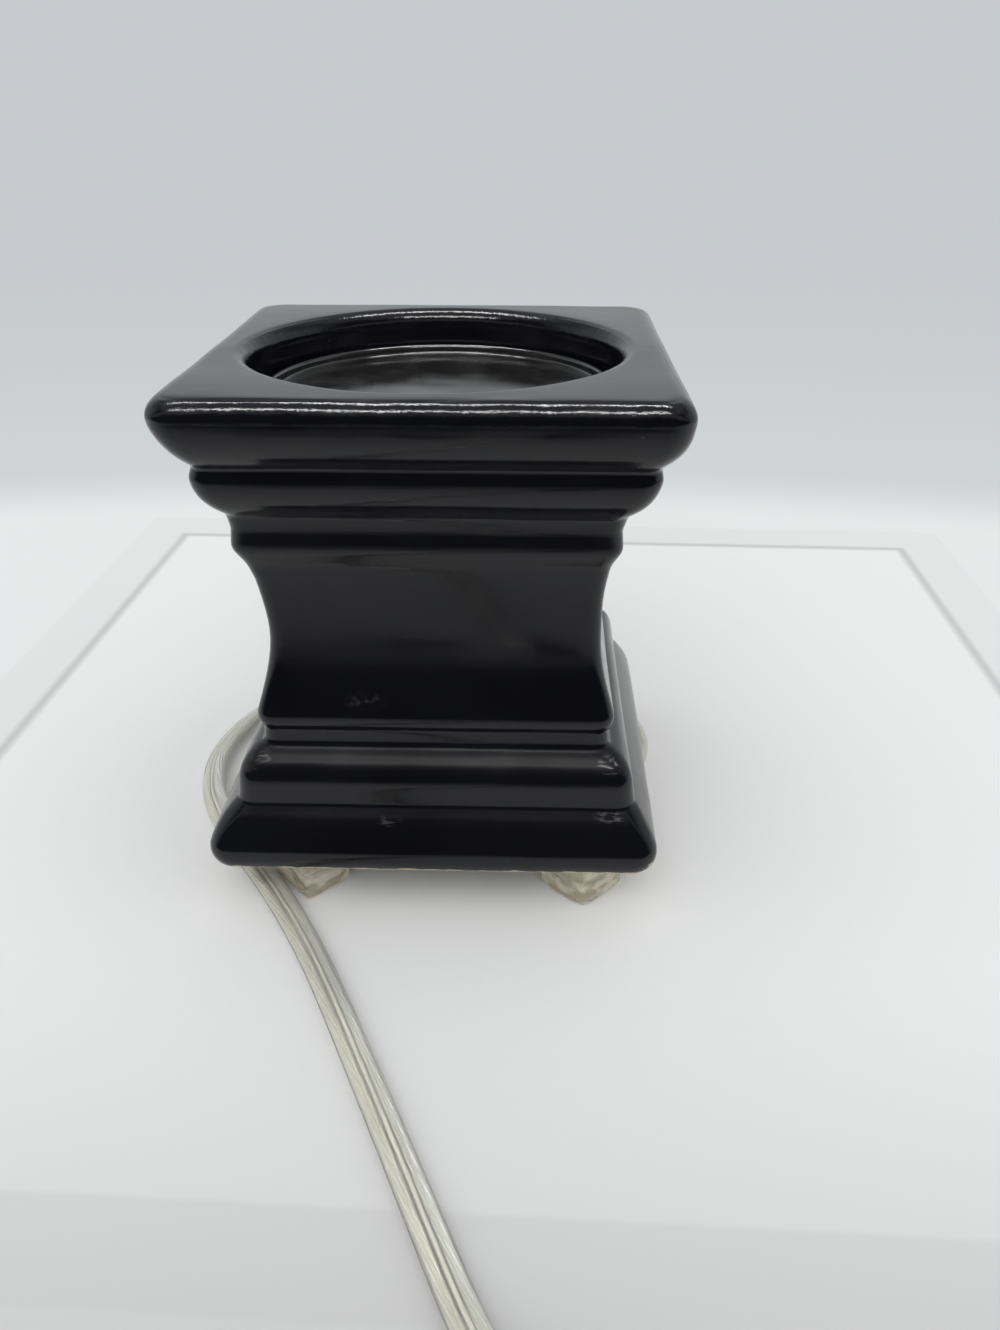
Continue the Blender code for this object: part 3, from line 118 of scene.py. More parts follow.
TAIL_ROUTE = (
    (-0.0858, -0.2085, 0.0094, 75), (-0.0818, -0.1980, 0.0072, 50),
    (-0.0757, -0.1890, 0.0060, 25), (-0.0678, -0.1822, 0.0062, 8),
)


def span(label, note, metres):
    """A length that a user may change."""
    return FloatProperty(name=label, description=note, default=metres, precision=5,
                         subtype="DISTANCE", unit="LENGTH")


def tint(label, note, colour):
    """A colour that a user may change."""
    return FloatVectorProperty(name=label, description=note, default=colour, size=3,
                               min=0.0, max=1.0, subtype="COLOR")


def share(label, note, value, most=1.0):
    """A plain share or level that a user may change."""
    return FloatProperty(name=label, description=note, default=value, min=0.0, max=most,
                         precision=3, subtype="FACTOR" if most == 1.0 else "NONE")


class PedestalSettings(PropertyGroup):
    """Mouldings of the ceramic pedestal, its well and its glaze."""
    base_half: span("Base", "Half width of the base at its bulge", 0.0502)
    base_undercut: span("Base undercut", "How far the bottom face is set in", 0.0010)
    lower_setback: span("Lower roll setback", "From the base in to the lower roll", 0.0061)
    waist_half: span("Waist", "Half width of the hollow waist", 0.0358)
    neck_step: span("Neck step", "From the waist out to the neck", 0.0027)
    lip_step: span("Lip step", "From the waist out to the lip", 0.0034)
    flare_step: span("Flare step", "From the waist out to the end of its hollow", 0.0022)
    capital_step: span("Capital step", "From the waist out to the capital band", 0.0043)
    top_half: span("Top", "Half width of the top slab at its bulge", 0.0510)
    upper_setback: span("Upper roll setback", "From the slab in to the upper roll", 0.0049)
    crease_setback: span("Crease setback", "From the slab in to the crease under it", 0.0060)
    top_edge: span("Top edge", "Width of the slab's rounded upper edge", 0.0034)
    base_edge_height: span("Base edge height", "From the bottom face to the bulge", 0.0052)
    base_height: span("Base height", "Height of the base", 0.0141)
    lower_band: span("Lower band", "Upright band under the lower roll", 0.0032)
    lower_height: span("Lower roll height", "Height of the lower roll with its band", 0.0120)
    neck_fillet: span("Neck fillet", "Fillet between the lower roll and the neck", 0.0012)
    neck_height: span("Neck height", "Height of the neck", 0.0044)
    lip_height: span("Lip height", "Height of the lip", 0.0038)
    waist_low: span("Lower hollow", "From the lip up to the waist", 0.0180)
    capital_round: span("Capital round", "Height of the round under the capital", 0.0034)
    capital_dip: span("Capital dip", "How far the capital draws in over its lower edge", 0.0003)
    capital_cove: span("Capital cove", "How far the capital leans out under the upper roll", 0.0006)
    capital_band: span("Capital band", "Height of the capital's band", 0.0074)
    upper_roll: span("Upper roll", "Height of the upper roll", 0.0094)
    upper_height: span("Upper height", "From the capital to the crease", 0.0108)
    slab_edge: span("Slab edge", "From the bulge of the slab up to its top", 0.0042)
    slab_height: span("Slab height", "Height of the top slab", 0.0145)
    waist_corner: span("Waist corner", "Plan corner radius at the waist", 0.0030)
    top_corner: span("Top corner", "Plan corner radius on the slab", 0.0056)
    crease_round: span("Crease round", "How far glaze rounds each crease", 0.00050)
    slab_crease: span("Slab crease", "Rounding of the crease under the slab", 0.00110)
    capital_crease: span("Capital crease", "Rounding of the crease over the capital", 0.00080)
    flare_crease: span("Flare crease", "Rounding of the crease under the capital", 0.00160)
    crease_reach: span("Crease reach", "Height over which a crease has its own rounding", 0.0040)
    rim_flat: span("Face margin", "Flat run kept beside each outer edge", 0.0015)
    well_radius: span("Well", "Radius of the well", 0.0406)
    well_shift: span("Well shift", "How far the well sits to the left of the middle", 0.00045)
    well_round: span("Well rim round", "Rounding of the well's rim", 0.0035)
    well_fillet: span("Well fillet", "Fillet between the well's wall and its ledge", 0.0012)
    ledge_z: span("Ledge", "Height of the ledge that carries the pan", 0.1048)
    ledge_thickness: span("Ledge thickness", "Thickness of the ledge", 0.0055)
    ledge_hole: span("Ledge hole", "Radius of the hole in the ledge", 0.0290)
    wall: span("Wall", "Thickness of the ceramic", 0.0052)
    plate_rim: span("Plate rim", "Width of the rim round the base plate", 0.0050)
    plate_seat: span("Plate seat", "Depth of the rebate for the base plate", 0.0018)
    slow_swell: span("Slow swell", "Height of the broad unevenness of the casting", 0.00024)
    slow_reach: span("Slow swell reach", "Reach of the broad unevenness", 0.024)
    quick_swell: span("Quick swell", "Height of the fine unevenness of the casting", 0.00002)
    quick_reach: span("Quick swell reach", "Reach of the fine unevenness", 0.0065)
    edge_swell: span("Edge swell", "Wobble of the slab's rounded upper edge", 0.00018)
    edge_reach: span("Edge swell reach", "Reach of the wobble along the slab's edge", 0.0085)
    glaze: tint("Glaze", "Colour of the glaze", (0.0036, 0.0038, 0.0054))
    clay: tint("Clay", "Colour of the bare clay", (0.52, 0.47, 0.36))
    gloss_roughness: share("Glaze roughness", "Roughness of clean glaze", 0.13)
    bare_height: span("Bare foot ring", "Height of the unglazed ring at the bottom", 0.0007)


class PanSettings(PropertyGroup):
    """The coated warming pan."""
    sheet: span("Sheet", "Thickness of the pan's sheet", 0.0010)
    flange: span("Flange", "Width of the rolled rim", 0.0016)
    slope: span("Wall slope", "How far the wall leans out", 0.0012)
    fillet: span("Fillet", "Fillet between the rim and the floor", 0.0006)
    dent: span("Dents", "Unevenness of the floor", 0.00005)
    coating: tint("Coating", "Colour of the coating", (0.013, 0.013, 0.0137))
    roughness: share("Coating roughness", "Roughness of the coating", 0.13)


class FootSettings(PropertyGroup):
    """The clear stick-on feet."""
    side: span("Side", "Width of a foot under the base", 0.0137)
    taper: span("Taper", "How far each side leans in towards the floor", 0.0002)
    corner: span("Corner", "Radius of the upright corners", 0.0004)
    edge: span("Edge", "Rounding of the lower edge", 0.0008)
    bulge: span("Bulge", "How far the middle of each side swells", 0.0008)
    ripple: span("Ripple", "Height of the ripples in the sides", 0.00030)
    ripple_reach: span("Ripple reach", "Reach of the ripples along a side", 0.0026)
    turn: FloatProperty(name="Turn", description="Turn of the feet about their middle",
                        default=math.radians(45), subtype="ANGLE", unit="ROTATION")
    resin: tint("Resin", "Colour of the clear resin", (0.96, 0.91, 0.76))
    # Painted shade: the dark streaks in the feet are painted into the resin's colour
    painted_shade: tint("Shade", "Colour of the streaks that look dark in the resin", (0.86, 0.78, 0.60))
    # The adhesive's pale, opaque tone is partly its own colour and partly painted light, which
    # brightens what shows through each foot
    adhesive: tint("Adhesive", "Colour of the adhesive on a foot", (0.95, 0.85, 0.66))


class CordSettings(PropertyGroup):
    """The clear flat cord, its coil and its tie."""
    width: span("Width", "Width of the flat cord", 0.0064)
    thickness: span("Thickness", "Thickness of the flat cord", 0.0032)
    groove: span("Groove", "Depth of the groove between the cores", 0.0005)
    core_radius: span("Core", "Radius of each bunch of strands", 0.00072)
    strand_height: span("Strand height", "How far single strands stand out", 0.00018)
    # Painted highlight: a pale strip in the web between the cores stands for light that the groove
    # focuses there
    highlight_line_width: span("Seam width", "Width of the pale seam between the cores", 0.00095)
    highlight_line_height: span("Seam height", "Height of the pale seam between the cores", 0.00150)
    strand_count: IntProperty(name="Strands", description="Strands seen round a core",
                              default=9, min=3, max=24)
    lay: span("Lay", "Length in which the strands turn once", 0.060)
    lead_length: span("Lead length", "Cord from the boot to the switch", 0.421)
    run_length: span("Run length", "Cord from the switch to the plug", 1.127)
    coil_x: span("Coil x", "Middle of the coil", -0.0480)
    coil_y: span("Coil y", "Middle of the coil", -0.2320)
    coil_radius: span("Coil radius", "Radius of the outer turn", 0.0395)
    coil_pitch: span("Coil pitch", "From one turn to the next", 0.0050)
    coil_turns_in: FloatProperty(name="Turns in", description="Turns until the coil reverses",
                                 default=1.875, min=0.5)
    layer_gap: span("Layer gap", "Gap between the two layers", 0.0006)
    tie_width: span("Tie width", "Width of the tie", 0.0050)
    tie_sheet: span("Tie sheet", "Thickness of the tie", 0.0008)
    vinyl: tint("Vinyl", "Colour of the clear vinyl", (0.98, 0.978, 0.945))
    tinned: tint("Tinned strands", "Colour of the tinned strands", (0.90, 0.90, 0.84))
    copper: tint("Copper strands", "Colour of the plain strands", (0.90, 0.88, 0.78))
    # Colour of the painted highlight strip in the web
    seam: tint("Seam", "Colour of the seam between the cores", (0.95, 0.93, 0.82))
    tie: tint("Tie", "Colour of the tie", (0.05, 0.05, 0.05))


class SwitchSettings(PropertyGroup):
    """The thumbwheel switch on the cord."""
    start_x: span("Start x", "Where the lead enters", 0.0215)
    start_y: span("Start y", "Where the lead enters", -0.1646)
    heading: FloatProperty(name="Heading", description="Direction from the lead to the plug",
                           default=math.radians(-65.8), subtype="ANGLE", unit="ROTATION")
    length: span("Length", "Length of the switch", 0.0560)
    width: span("Width", "Width of the switch", 0.0180)
    corner: span("Corner", "Plan corner radius", 0.0080)
    edge: span("Edge", "Rounding of the outer edges", 0.0026)
    wheel_clearance: span("Wheel clearance", "Room round the thumbwheel", 0.0006)
    wheel_teeth: IntProperty(name="Teeth", description="Ribs round the thumbwheel",
                             default=36, min=8, max=80)
    shell: tint("Shell", "Colour of the milky shells", (0.80, 0.79, 0.72))
    wheel: tint("Wheel", "Colour of the thumbwheel", (0.74, 0.73, 0.68))


class PlugSettings(PropertyGroup):
    """The moulded plug and the strain relief boot."""
    tail_length: span("Tail", "Length of the tapered tail", 0.0220)
    shoulder: span("Shoulder", "Length of the shoulder", 0.0030)
    rib_depth: span("Rib depth", "Depth of the grooves between the ribs", 0.0006)
    tail_ribs: IntProperty(name="Tail ribs", description="Ribs on the tapered tail",
                           default=5, min=0, max=12)
    grip_ribs: IntProperty(name="Grip ribs", description="Ribs on the sides of the plug",
                           default=4, min=0, max=12)
    boot_heel: span("Boot heel", "From the boot's stem back to its heel", 0.0066)
    boot_stem: span("Boot stem", "Radius of the stem in the base plate", 0.0045)
    boot_head: span("Boot head", "Radius of the head above the base plate", 0.0068)
    boot_half_width: span("Boot half width", "Half width of the boot's elbow", 0.0050)
    boot_margin: span("Boot margin", "Vinyl round the cord at the boot's tip", 0.0008)
    vinyl: tint("Vinyl", "Colour of the plug's vinyl", (0.72, 0.71, 0.62))


class StageSettings(PropertyGroup):
    """Floor, room light and camera."""
    camera_place: FloatVectorProperty(name="Camera", description="Place of the camera", size=3,
                                      default=(0.02039, -0.24368, 0.16746),
                                      subtype="TRANSLATION", unit="LENGTH", precision=5)
    camera_turn: FloatVectorProperty(name="Camera turn", description="Turn of the camera", size=3,
                                     default=(math.radians(61.93), 0.0, math.radians(1.601)),
                                     subtype="EULER", unit="ROTATION")
    lens: FloatProperty(name="Lens", description="Focal length on a 36 mm sensor",
                        default=29.43, min=1.0, unit="CAMERA")
    floor: tint("Panel", "Colour of the panel that the warmer stands on", (0.890, 0.900, 0.900))
    border: tint("Border", "Colour of the border round the panel", (0.820, 0.825, 0.830))
    table: tint("Table", "Colour of the table round the board", (0.850, 0.860, 0.865))
    panel_x: span("Panel x", "Middle of the panel", 0.0198)
    panel_y: span("Panel y", "Middle of the panel", 0.0270)
    panel_half_x: span("Panel half width", "From the panel's middle to its sides", 0.1485)
    panel_half_y: span("Panel half depth", "From the panel's middle to its front and back", 0.1530)
    border_width: span("Border width", "Width of the border round the panel", 0.0195)
    # Painted shade on the floor: darker beside the back and sides of the panel, and darker towards
    # the camera
    groove_reach: span("Groove reach", "How far the shade beside the panel reaches", 0.0030)
    groove_shade: share("Groove shade", "How much darker it is beside the panel", 0.26)
    panel_turn: FloatProperty(name="Panel turn", description="Turn of the panel about its middle",
                              default=math.radians(-1.6), subtype="ANGLE", unit="ROTATION")
    front_shade: share("Front shade", "How much darker the floor is towards the camera", 0.30)
    near_backdrop: tint("Near backdrop", "Where the floor turns into the backdrop",
                        (0.628, 0.655, 0.666))
    far_backdrop: tint("Far backdrop", "Colour of the backdrop", (0.570, 0.597, 0.622))
    room: share("Room light", "Level of the light from all round", 0.88, 4.0)
    dark_room: share("Dark room", "What gloss shows of the room in front", 0.010)
    ceiling: share("Ceiling", "What gloss shows of the ceiling in front", 0.48)
    soft_lamp: share("Soft lamp", "Level of the soft lamp in front", 1.1, 40.0)
    strip_lamp: share("Strip lamps", "Level of the strips that gloss shows", 32.0, 80.0)


class WarmerSettings(PropertyGroup):
    """All settings of the warmer."""
    pedestal: PointerProperty(type=PedestalSettings)
    pan: PointerProperty(type=PanSettings)
    feet: PointerProperty(type=FootSettings)
    cord: PointerProperty(type=CordSettings)
    switch: PointerProperty(type=SwitchSettings)
    plug: PointerProperty(type=PlugSettings)
    stage: PointerProperty(type=StageSettings)


class Finish:
    """A node tree with short calls for the nodes that the finishes share."""

    def __init__(self, owner):
        self.owner = owner
        owner.use_nodes = True
        self.tree = owner.node_tree
        self.shader = self.tree.nodes.get("Principled BSDF")

    def node(self, kind, sockets=None, **options):
        """A node with its options and its sockets set or linked."""
        made = self.tree.nodes.new("ShaderNode" + kind)
        for key, value in options.items():
            setattr(made, key, value)
        for key, value in (sockets or {}).items():
            self.feed(made.inputs[key], value)
        return made

    def feed(self, socket, value):
        """Link a socket to another one, or set it."""
        if isinstance(value, NodeSocket):
            self.tree.links.new(value, socket)
        else:
            socket.default_value = value

    def surface(self, **values):
        """Set the main shader's sockets, with _ for a space in their names."""
        for key, value in values.items():
            self.feed(self.shader.inputs[key.replace("_", " ")], value)

    def place(self):
        """Place on the piece, in metres."""
        return self.node("TexCoord").outputs["Object"]

    def axis(self, name, place=None):
        """One coordinate of a place."""
        return self.node("SeparateXYZ", {"Vector": place or self.place()}).outputs[name]

    def grain(self, reach, detail=2.0, place=None, stretch=None):
        """Noise whose swells are about reach metres across."""
        where = place or self.place()
        if stretch:
            where = self.node("VectorMath", {0: where, 1: stretch}, operation="MULTIPLY").outputs[0]
        made = self.node("TexNoise", {"Vector": where, "Scale": 1.0 / reach, "Detail": detail})
        return made.outputs["Fac"]

    def sum(self, operation, first, second=0.0):
        """A sum, product, power or the like of two values."""
        return self.node("Math", {0: first, 1: second}, operation=operation).outputs[0]

    def fade(self, value, start, end, low=0.0, high=1.0):
        """Low before start and high after end, with a smooth change between them."""
        made = self.node("MapRange", {"Value": value, "From Min": start, "From Max": end,
                                      "To Min": low, "To Max": high},
                         interpolation_type="SMOOTHSTEP")
        return made.outputs["Result"]

    def blend(self, factor, first, second):
        """From the first colour to the second."""
        made = self.node("Mix", data_type="RGBA")
        self.feed(made.inputs["Factor"], factor)
        for socket, value in ((made.inputs[6], first), (made.inputs[7], second)):
            self.feed(socket, value if isinstance(value, NodeSocket) else (*value, 1.0))
        return made.outputs[2]

    def mark(self, centre, halves, edge=0.35):
        """A soft-edged mark: 1 in the middle of an ellipsoid and 0 outside it."""
        off = self.node("VectorMath", {0: self.place(), 1: centre}, operation="SUBTRACT").outputs[0]
        off = self.node("VectorMath", {0: off, 1: [1.0 / half for half in halves]},
                        operation="MULTIPLY").outputs[0]
        far = self.node("VectorMath", {0: off}, operation="LENGTH").outputs["Value"]
        return self.fade(far, edge, 1.0, 1.0, 0.0)

    def most(self, *masks):
        """The strongest of several masks."""
        found = masks[0]
        for mask in masks[1:]:
            found = self.sum("MAXIMUM", found, mask)
        return found

    def relief(self, *layers):
        """Bump from (height mask, depth in metres) layers."""
        normal = None
        for height, depth in layers:
            sockets = {"Height": height, "Distance": depth, "Strength": 1.0}
            if normal:
                sockets["Normal"] = normal
            normal = self.node("Bump", sockets).outputs["Normal"]
        self.feed(self.shader.inputs["Normal"], normal)


def toned(colour, level):
    """The colour, made darker or lighter."""
    return [level * part for part in colour]


def new_finish(name):
    """A new material with a finish's short calls."""
    return Finish(bpy.data.materials.new(name))


# Light grey marks on the glaze, partly wear and partly painted highlights at the ends of the lower
# roll and on the base's right corner: middle and half sizes of each mark, and how strong it is
SCUFFS_AND_HIGHLIGHTS = (
    ((-0.0386, -0.0435, 0.0362), (0.0046, 0.0040, 0.0020), 0.80),
    ((0.0394, -0.0430, 0.0356), (0.0042, 0.0040, 0.0026), 0.80),
    ((0.0394, -0.0451, 0.0236), (0.0044, 0.0030, 0.0014), 0.28),
    ((-0.0098, -0.0463, 0.0223), (0.0038, 0.0030, 0.0013), 0.14),
)
SMUDGES = (
    ((-0.0429, -0.0430, 0.0344), (0.0050, 0.0060, 0.0030)),
    ((-0.0150, -0.0375, 0.0483), (0.0060, 0.0060, 0.0024)),
    ((0.0360, 0.0250, 0.1144), (0.0050, 0.0060, 0.0030)),
    ((0.0408, -0.0505, 0.1114), (0.0006, 0.0012, 0.0005)),
)
CHIPS = (
    ((0.0488, -0.0486, 0.0132), (0.0009, 0.0012, 0.0005)),
    ((0.0165, -0.0435, 0.0381), (0.0005, 0.0012, 0.0004)),
)

# How much each finish bends light
GLAZE_INDEX = 1.41
COATING_INDEX = 1.75
VINYL_INDEX = 1.50
RESIN_INDEX = 1.49

# Tones of the marks on the glaze, and the roughness that they add
SMUDGE_TONE = (0.050, 0.048, 0.046)
SMUDGE_SHARE = 0.25
SMUDGE_ROUGH = 0.22
# The scuffs' light grey is partly a painted highlight
SCUFF_AND_HIGHLIGHT_TONE = (0.24, 0.24, 0.24)
SCUFF_ROUGH = 0.30
FILM_ROUGH = 0.05
HAZE_ROUGH = 0.10
HAZE_LOW = (0.0320, 0.0335)
HAZE_HIGH = (0.0370, 0.0380)

# Chips and the unglazed ring
CHIP_EDGE = 0.7
CHIP_DEPTH = 0.0002
BARE_ROUGH = 0.85
BARE_BLUR = 0.0002
BARE_RAGGED = 0.0003

# Fine relief of the glaze as reach and depth, some of it only on the rims under the top face
PEEL = (0.0042, 0.00002)
BEADS = (0.0010, 0.000008)
RIM_GRAIN = (0.0008, 0.00005)
RIM_WAVES = (0.0035, 0.00012)
RIM_LOW = (0.0045, 0.0035)
RIM_HIGH = (0.0005, 0.0002)


def glazed_ceramic(s, bottom, top):
    """Black glaze with fine orange peel, smudges, chips, a bare clay ring, and light grey scuffs
    that are partly painted highlights.
    """
    f = new_finish("glazed_ceramic")
    height = f.axis("Z")
    # Painted highlights, partly real scuffing: light grey marks, broken up by streaks, at the ends
    # of the lower roll and on the base's right corner
    scuff_and_highlight = f.most(*[f.sum("MULTIPLY", f.mark(*spot), strength) for *spot, strength in SCUFFS_AND_HIGHLIGHTS])
    streaks = f.fade(f.grain(0.0007, 4.0, stretch=(0.35, 1.0, 1.6)), 0.48, 0.64)
    scuff_and_highlight = f.sum("MULTIPLY", scuff_and_highlight, streaks)
    smudge = f.most(*[f.mark(*spot) for spot in SMUDGES])
    smudge = f.sum("MULTIPLY", smudge, f.fade(f.grain(0.0016, 3.0), 0.42, 0.60))
    chip = f.most(*[f.mark(*spot, CHIP_EDGE) for spot in CHIPS])
    ragged = f.fade(f.grain(0.004), 0.3, 0.7, -BARE_RAGGED, BARE_RAGGED)
    ring_top = bottom + s.bare_height
    bare = f.fade(f.sum("ADD", height, ragged), ring_top, ring_top + BARE_BLUR, 1.0, 0.0)
    bare = f.most(chip, bare)
    clay_tone = f.blend(f.grain(0.0011, 4.0), toned(s.clay, 0.72), s.clay)

    colour = f.blend(f.fade(f.grain(0.03), 0.35, 0.65), s.glaze, toned(s.glaze, 1.35))
    colour = f.blend(f.sum("MULTIPLY", smudge, SMUDGE_SHARE), colour, SMUDGE_TONE)
    colour = f.blend(scuff_and_highlight, colour, SCUFF_AND_HIGHLIGHT_TONE)
    colour = f.blend(bare, colour, clay_tone)

    gloss = s.gloss_roughness
    rough = f.fade(f.grain(0.017, 3.0), 0.48, 0.72, gloss, gloss + FILM_ROUGH)
    rough = f.sum("ADD", rough, f.sum("MULTIPLY", smudge, SMUDGE_ROUGH))
    haze = f.sum("MULTIPLY", f.fade(height, *HAZE_LOW), f.fade(height, *HAZE_HIGH, 1.0, 0.0))
    clouds = f.fade(f.grain(0.005, 4.0, stretch=(0.3, 0.3, 1.0)), 0.15, 0.65)
    haze = f.sum("MULTIPLY", haze, clouds)
    rough = f.sum("ADD", rough, f.sum("MULTIPLY", haze, HAZE_ROUGH))
    rough = f.sum("ADD", rough, f.sum("MULTIPLY", scuff_and_highlight, SCUFF_ROUGH))
    rough = f.sum("MAXIMUM", rough, f.sum("MULTIPLY", bare, BARE_ROUGH))
    f.surface(Base_Color=colour, Roughness=rough, IOR=GLAZE_INDEX)

    beads = f.sum("MULTIPLY", f.grain(BEADS[0], 1.0), f.fade(f.grain(0.02), 0.42, 0.60))
    rims = f.sum("MULTIPLY", f.fade(height, *[top - depth for depth in RIM_LOW]),
                 f.fade(height, *[top - depth for depth in RIM_HIGH], 1.0, 0.0))
    f.relief((f.grain(PEEL[0], 1.0), PEEL[1]), (beads, BEADS[1]), (chip, -CHIP_DEPTH),
             (f.sum("MULTIPLY", f.grain(RIM_GRAIN[0], 2.0), rims), RIM_GRAIN[1]),
             (f.sum("MULTIPLY", f.grain(RIM_WAVES[0], 1.0), rims), RIM_WAVES[1]))
    return f.owner


def coated_sheet(s):
    """Satin black coating with a fine pebble, slow waves and specks of dust."""
    f = new_finish("pan_coating")
    dust = f.fade(f.grain(0.0035, 4.0), 0.52, 0.75)
    colour = f.blend(dust, s.coating, toned(s.coating, 1.9))
    rough = f.fade(f.grain(0.012, 3.0), 0.35, 0.70, s.roughness - 0.04, s.roughness + 0.06)
    f.surface(Base_Color=colour, Roughness=rough, IOR=COATING_INDEX)
    f.relief((f.grain(0.0006, 2.0), 0.000008), (f.grain(0.008, 1.0), 0.00003))
    return f.owner


def clear_vinyl(name, colour, cloud, gloss, waves=0.00004):
    """Clear vinyl, a little cloudy, with slow waves in its surface."""
    f = new_finish(name)
    body = f.blend(f.grain(0.006, 3.0), toned(colour, 0.96), colour)
    rough = f.fade(f.grain(0.003, 3.0), 0.40, 0.72, gloss, gloss + 0.10)
    f.surface(Base_Color=body, Roughness=rough, IOR=VINYL_INDEX, Transmission_Weight=1.0 - cloud)
    f.relief((f.grain(0.0025, 2.0), waves))
    return f.owner


# Colour of the painted glints on the feet
PAINTED_GLINT_TONE = (1.0, 0.99, 0.95)


def resin_with_painted_streaks(s):
    """Clear cast resin of the feet, with painted streaks of light and shade and painted glints laid
    out along its bump waves.
    """
    f = new_finish("clear_foot")
    waves = f.grain(0.0032, 2.0, stretch=(0.50, 0.50, 1.2))
    # Painted light and shade: streaks from the darker painted shade colour to the resin's own
    # colour, with white painted glints on top
    streaks = f.fade(waves, 0.38, 0.64)
    painted_glints = f.fade(f.grain(0.0017, 2.0, stretch=(0.45, 0.45, 1.5)), 0.61, 0.66)
    body = f.blend(painted_glints, f.blend(streaks, s.painted_shade, s.resin), PAINTED_GLINT_TONE)
    clear = f.fade(streaks, 0.0, 1.0, 0.72, 0.52)
    rough = f.fade(f.grain(0.003, 3.0), 0.40, 0.72, 0.03, 0.08)
    f.surface(Base_Color=body, Roughness=rough, IOR=RESIN_INDEX, Transmission_Weight=clear)
    f.relief((waves, 0.00030))
    return f.owner


def strand_metal(name, colour):
    """Fine drawn wire, dull between the strands."""
    f = new_finish(name)
    tone = f.blend(f.grain(0.006, 3.0), toned(colour, 0.90), colour)
    rough = f.fade(f.grain(0.004, 2.0), 0.35, 0.70, 0.29, 0.36)
    f.surface(Base_Color=tone, Roughness=rough, Metallic=0.45)
    return f.owner


def moulded_plastic(name, colour, roughness):
    """Moulded plastic with a fine spark-eroded skin."""
    f = new_finish(name)
    tone = f.blend(f.grain(0.01, 3.0), toned(colour, 0.92), colour)
    rough = f.fade(f.grain(0.004, 3.0), 0.35, 0.7, roughness, roughness + 0.12)
    f.surface(Base_Color=tone, Roughness=rough, Subsurface_Weight=0.15,
              Subsurface_Radius=(0.002, 0.002, 0.0016))
    f.relief((f.grain(0.0004, 2.0), 0.00001))
    return f.owner


def bare_metal(name, colour, roughness, reach, tarnish):
    """Bare metal with drawn scratches and patches of tarnish."""
    f = new_finish(name)
    patch = f.fade(f.grain(0.006, 4.0), 0.48, 0.70)
    tone = f.blend(f.sum("MULTIPLY", patch, tarnish), colour, toned(colour, 0.38))
    rough = f.fade(f.grain(reach, 3.0, stretch=(0.2, 1.0, 1.0)), 0.30, 0.75,
                   roughness, roughness + 0.18)
    f.surface(Base_Color=tone, Roughness=rough, Metallic=1.0)
    f.relief((f.grain(reach, 2.0, stretch=(0.2, 1.0, 1.0)), 0.000015))
    return f.owner


def matt_sheet(name, colour, roughness, reach, depth):
    """Matt sheet, rubber or cloth with a visible grain."""
    f = new_finish(name)
    tone = f.blend(f.fade(f.grain(reach * 4, 4.0), 0.3, 0.7), toned(colour, 0.68), colour)
    f.surface(Base_Color=tone, Roughness=f.fade(f.grain(reach), 0.3, 0.7, roughness, 0.95))
    f.relief((f.grain(reach, 3.0), depth))
    return f.owner


RIBS_SCALE = 420.0


def woven_band(name, colour):
    """Narrow woven band: ribs across and along."""
    f = new_finish(name)
    across = f.node("TexWave", {"Vector": f.place(), "Scale": RIBS_SCALE, "Distortion": 0.6},
                    bands_direction="DIAGONAL").outputs["Fac"]
    tone = f.blend(across, toned(colour, 0.45), colour)
    f.surface(Base_Color=tone, Roughness=f.fade(f.grain(0.001), 0.3, 0.7, 0.65, 0.9))
    f.relief((across, 0.00015), (f.grain(0.0003), 0.00005))
    return f.owner


def skin(rings, loop=False):
    """Faces between rings of equal count: capped at both ends, or closed into a loop."""
    work = bmesh.new()
    rows = [[work.verts.new(point) for point in ring] for ring in rings]
    pairs = list(zip(rows, rows[1:]))
    if loop:
        pairs.append((rows[-1], rows[0]))
    else:
        work.faces.new(rows[0])
        work.faces.new(rows[-1])
    for low, high in pairs:
        for index in range(len(low)):
            after = (index + 1) % len(low)
            work.faces.new((low[index], low[after], high[after], high[index]))
    return work, rows


def put(name, work, finish, body=HOUSING, parent=None, stands_for=(), matrix=None,
        sharp=SHARP_ANGLE):
    """Turn a bmesh into a closed, smooth piece that rides on a body or on a parent piece."""
    if any(not edge.is_manifold for edge in work.edges):
        raise RuntimeError(f"{name} isn't a closed mesh")
    if matrix:
        bmesh.ops.transform(work, matrix=matrix, verts=work.verts)
    bmesh.ops.recalc_face_normals(work, faces=work.faces)
    mesh = bpy.data.meshes.new(name)
    work.to_mesh(mesh)
    work.free()
    mesh.shade_smooth()
    mesh.set_sharp_from_angle(angle=sharp)
    mesh.materials.append(finish)
    item = bpy.data.objects.new(name, mesh)
    bpy.context.scene.collection.objects.link(item)
    if parent:
        item.parent = parent
    else:
        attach(item, body)
    if stands_for:
        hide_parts(*stands_for)
    return item


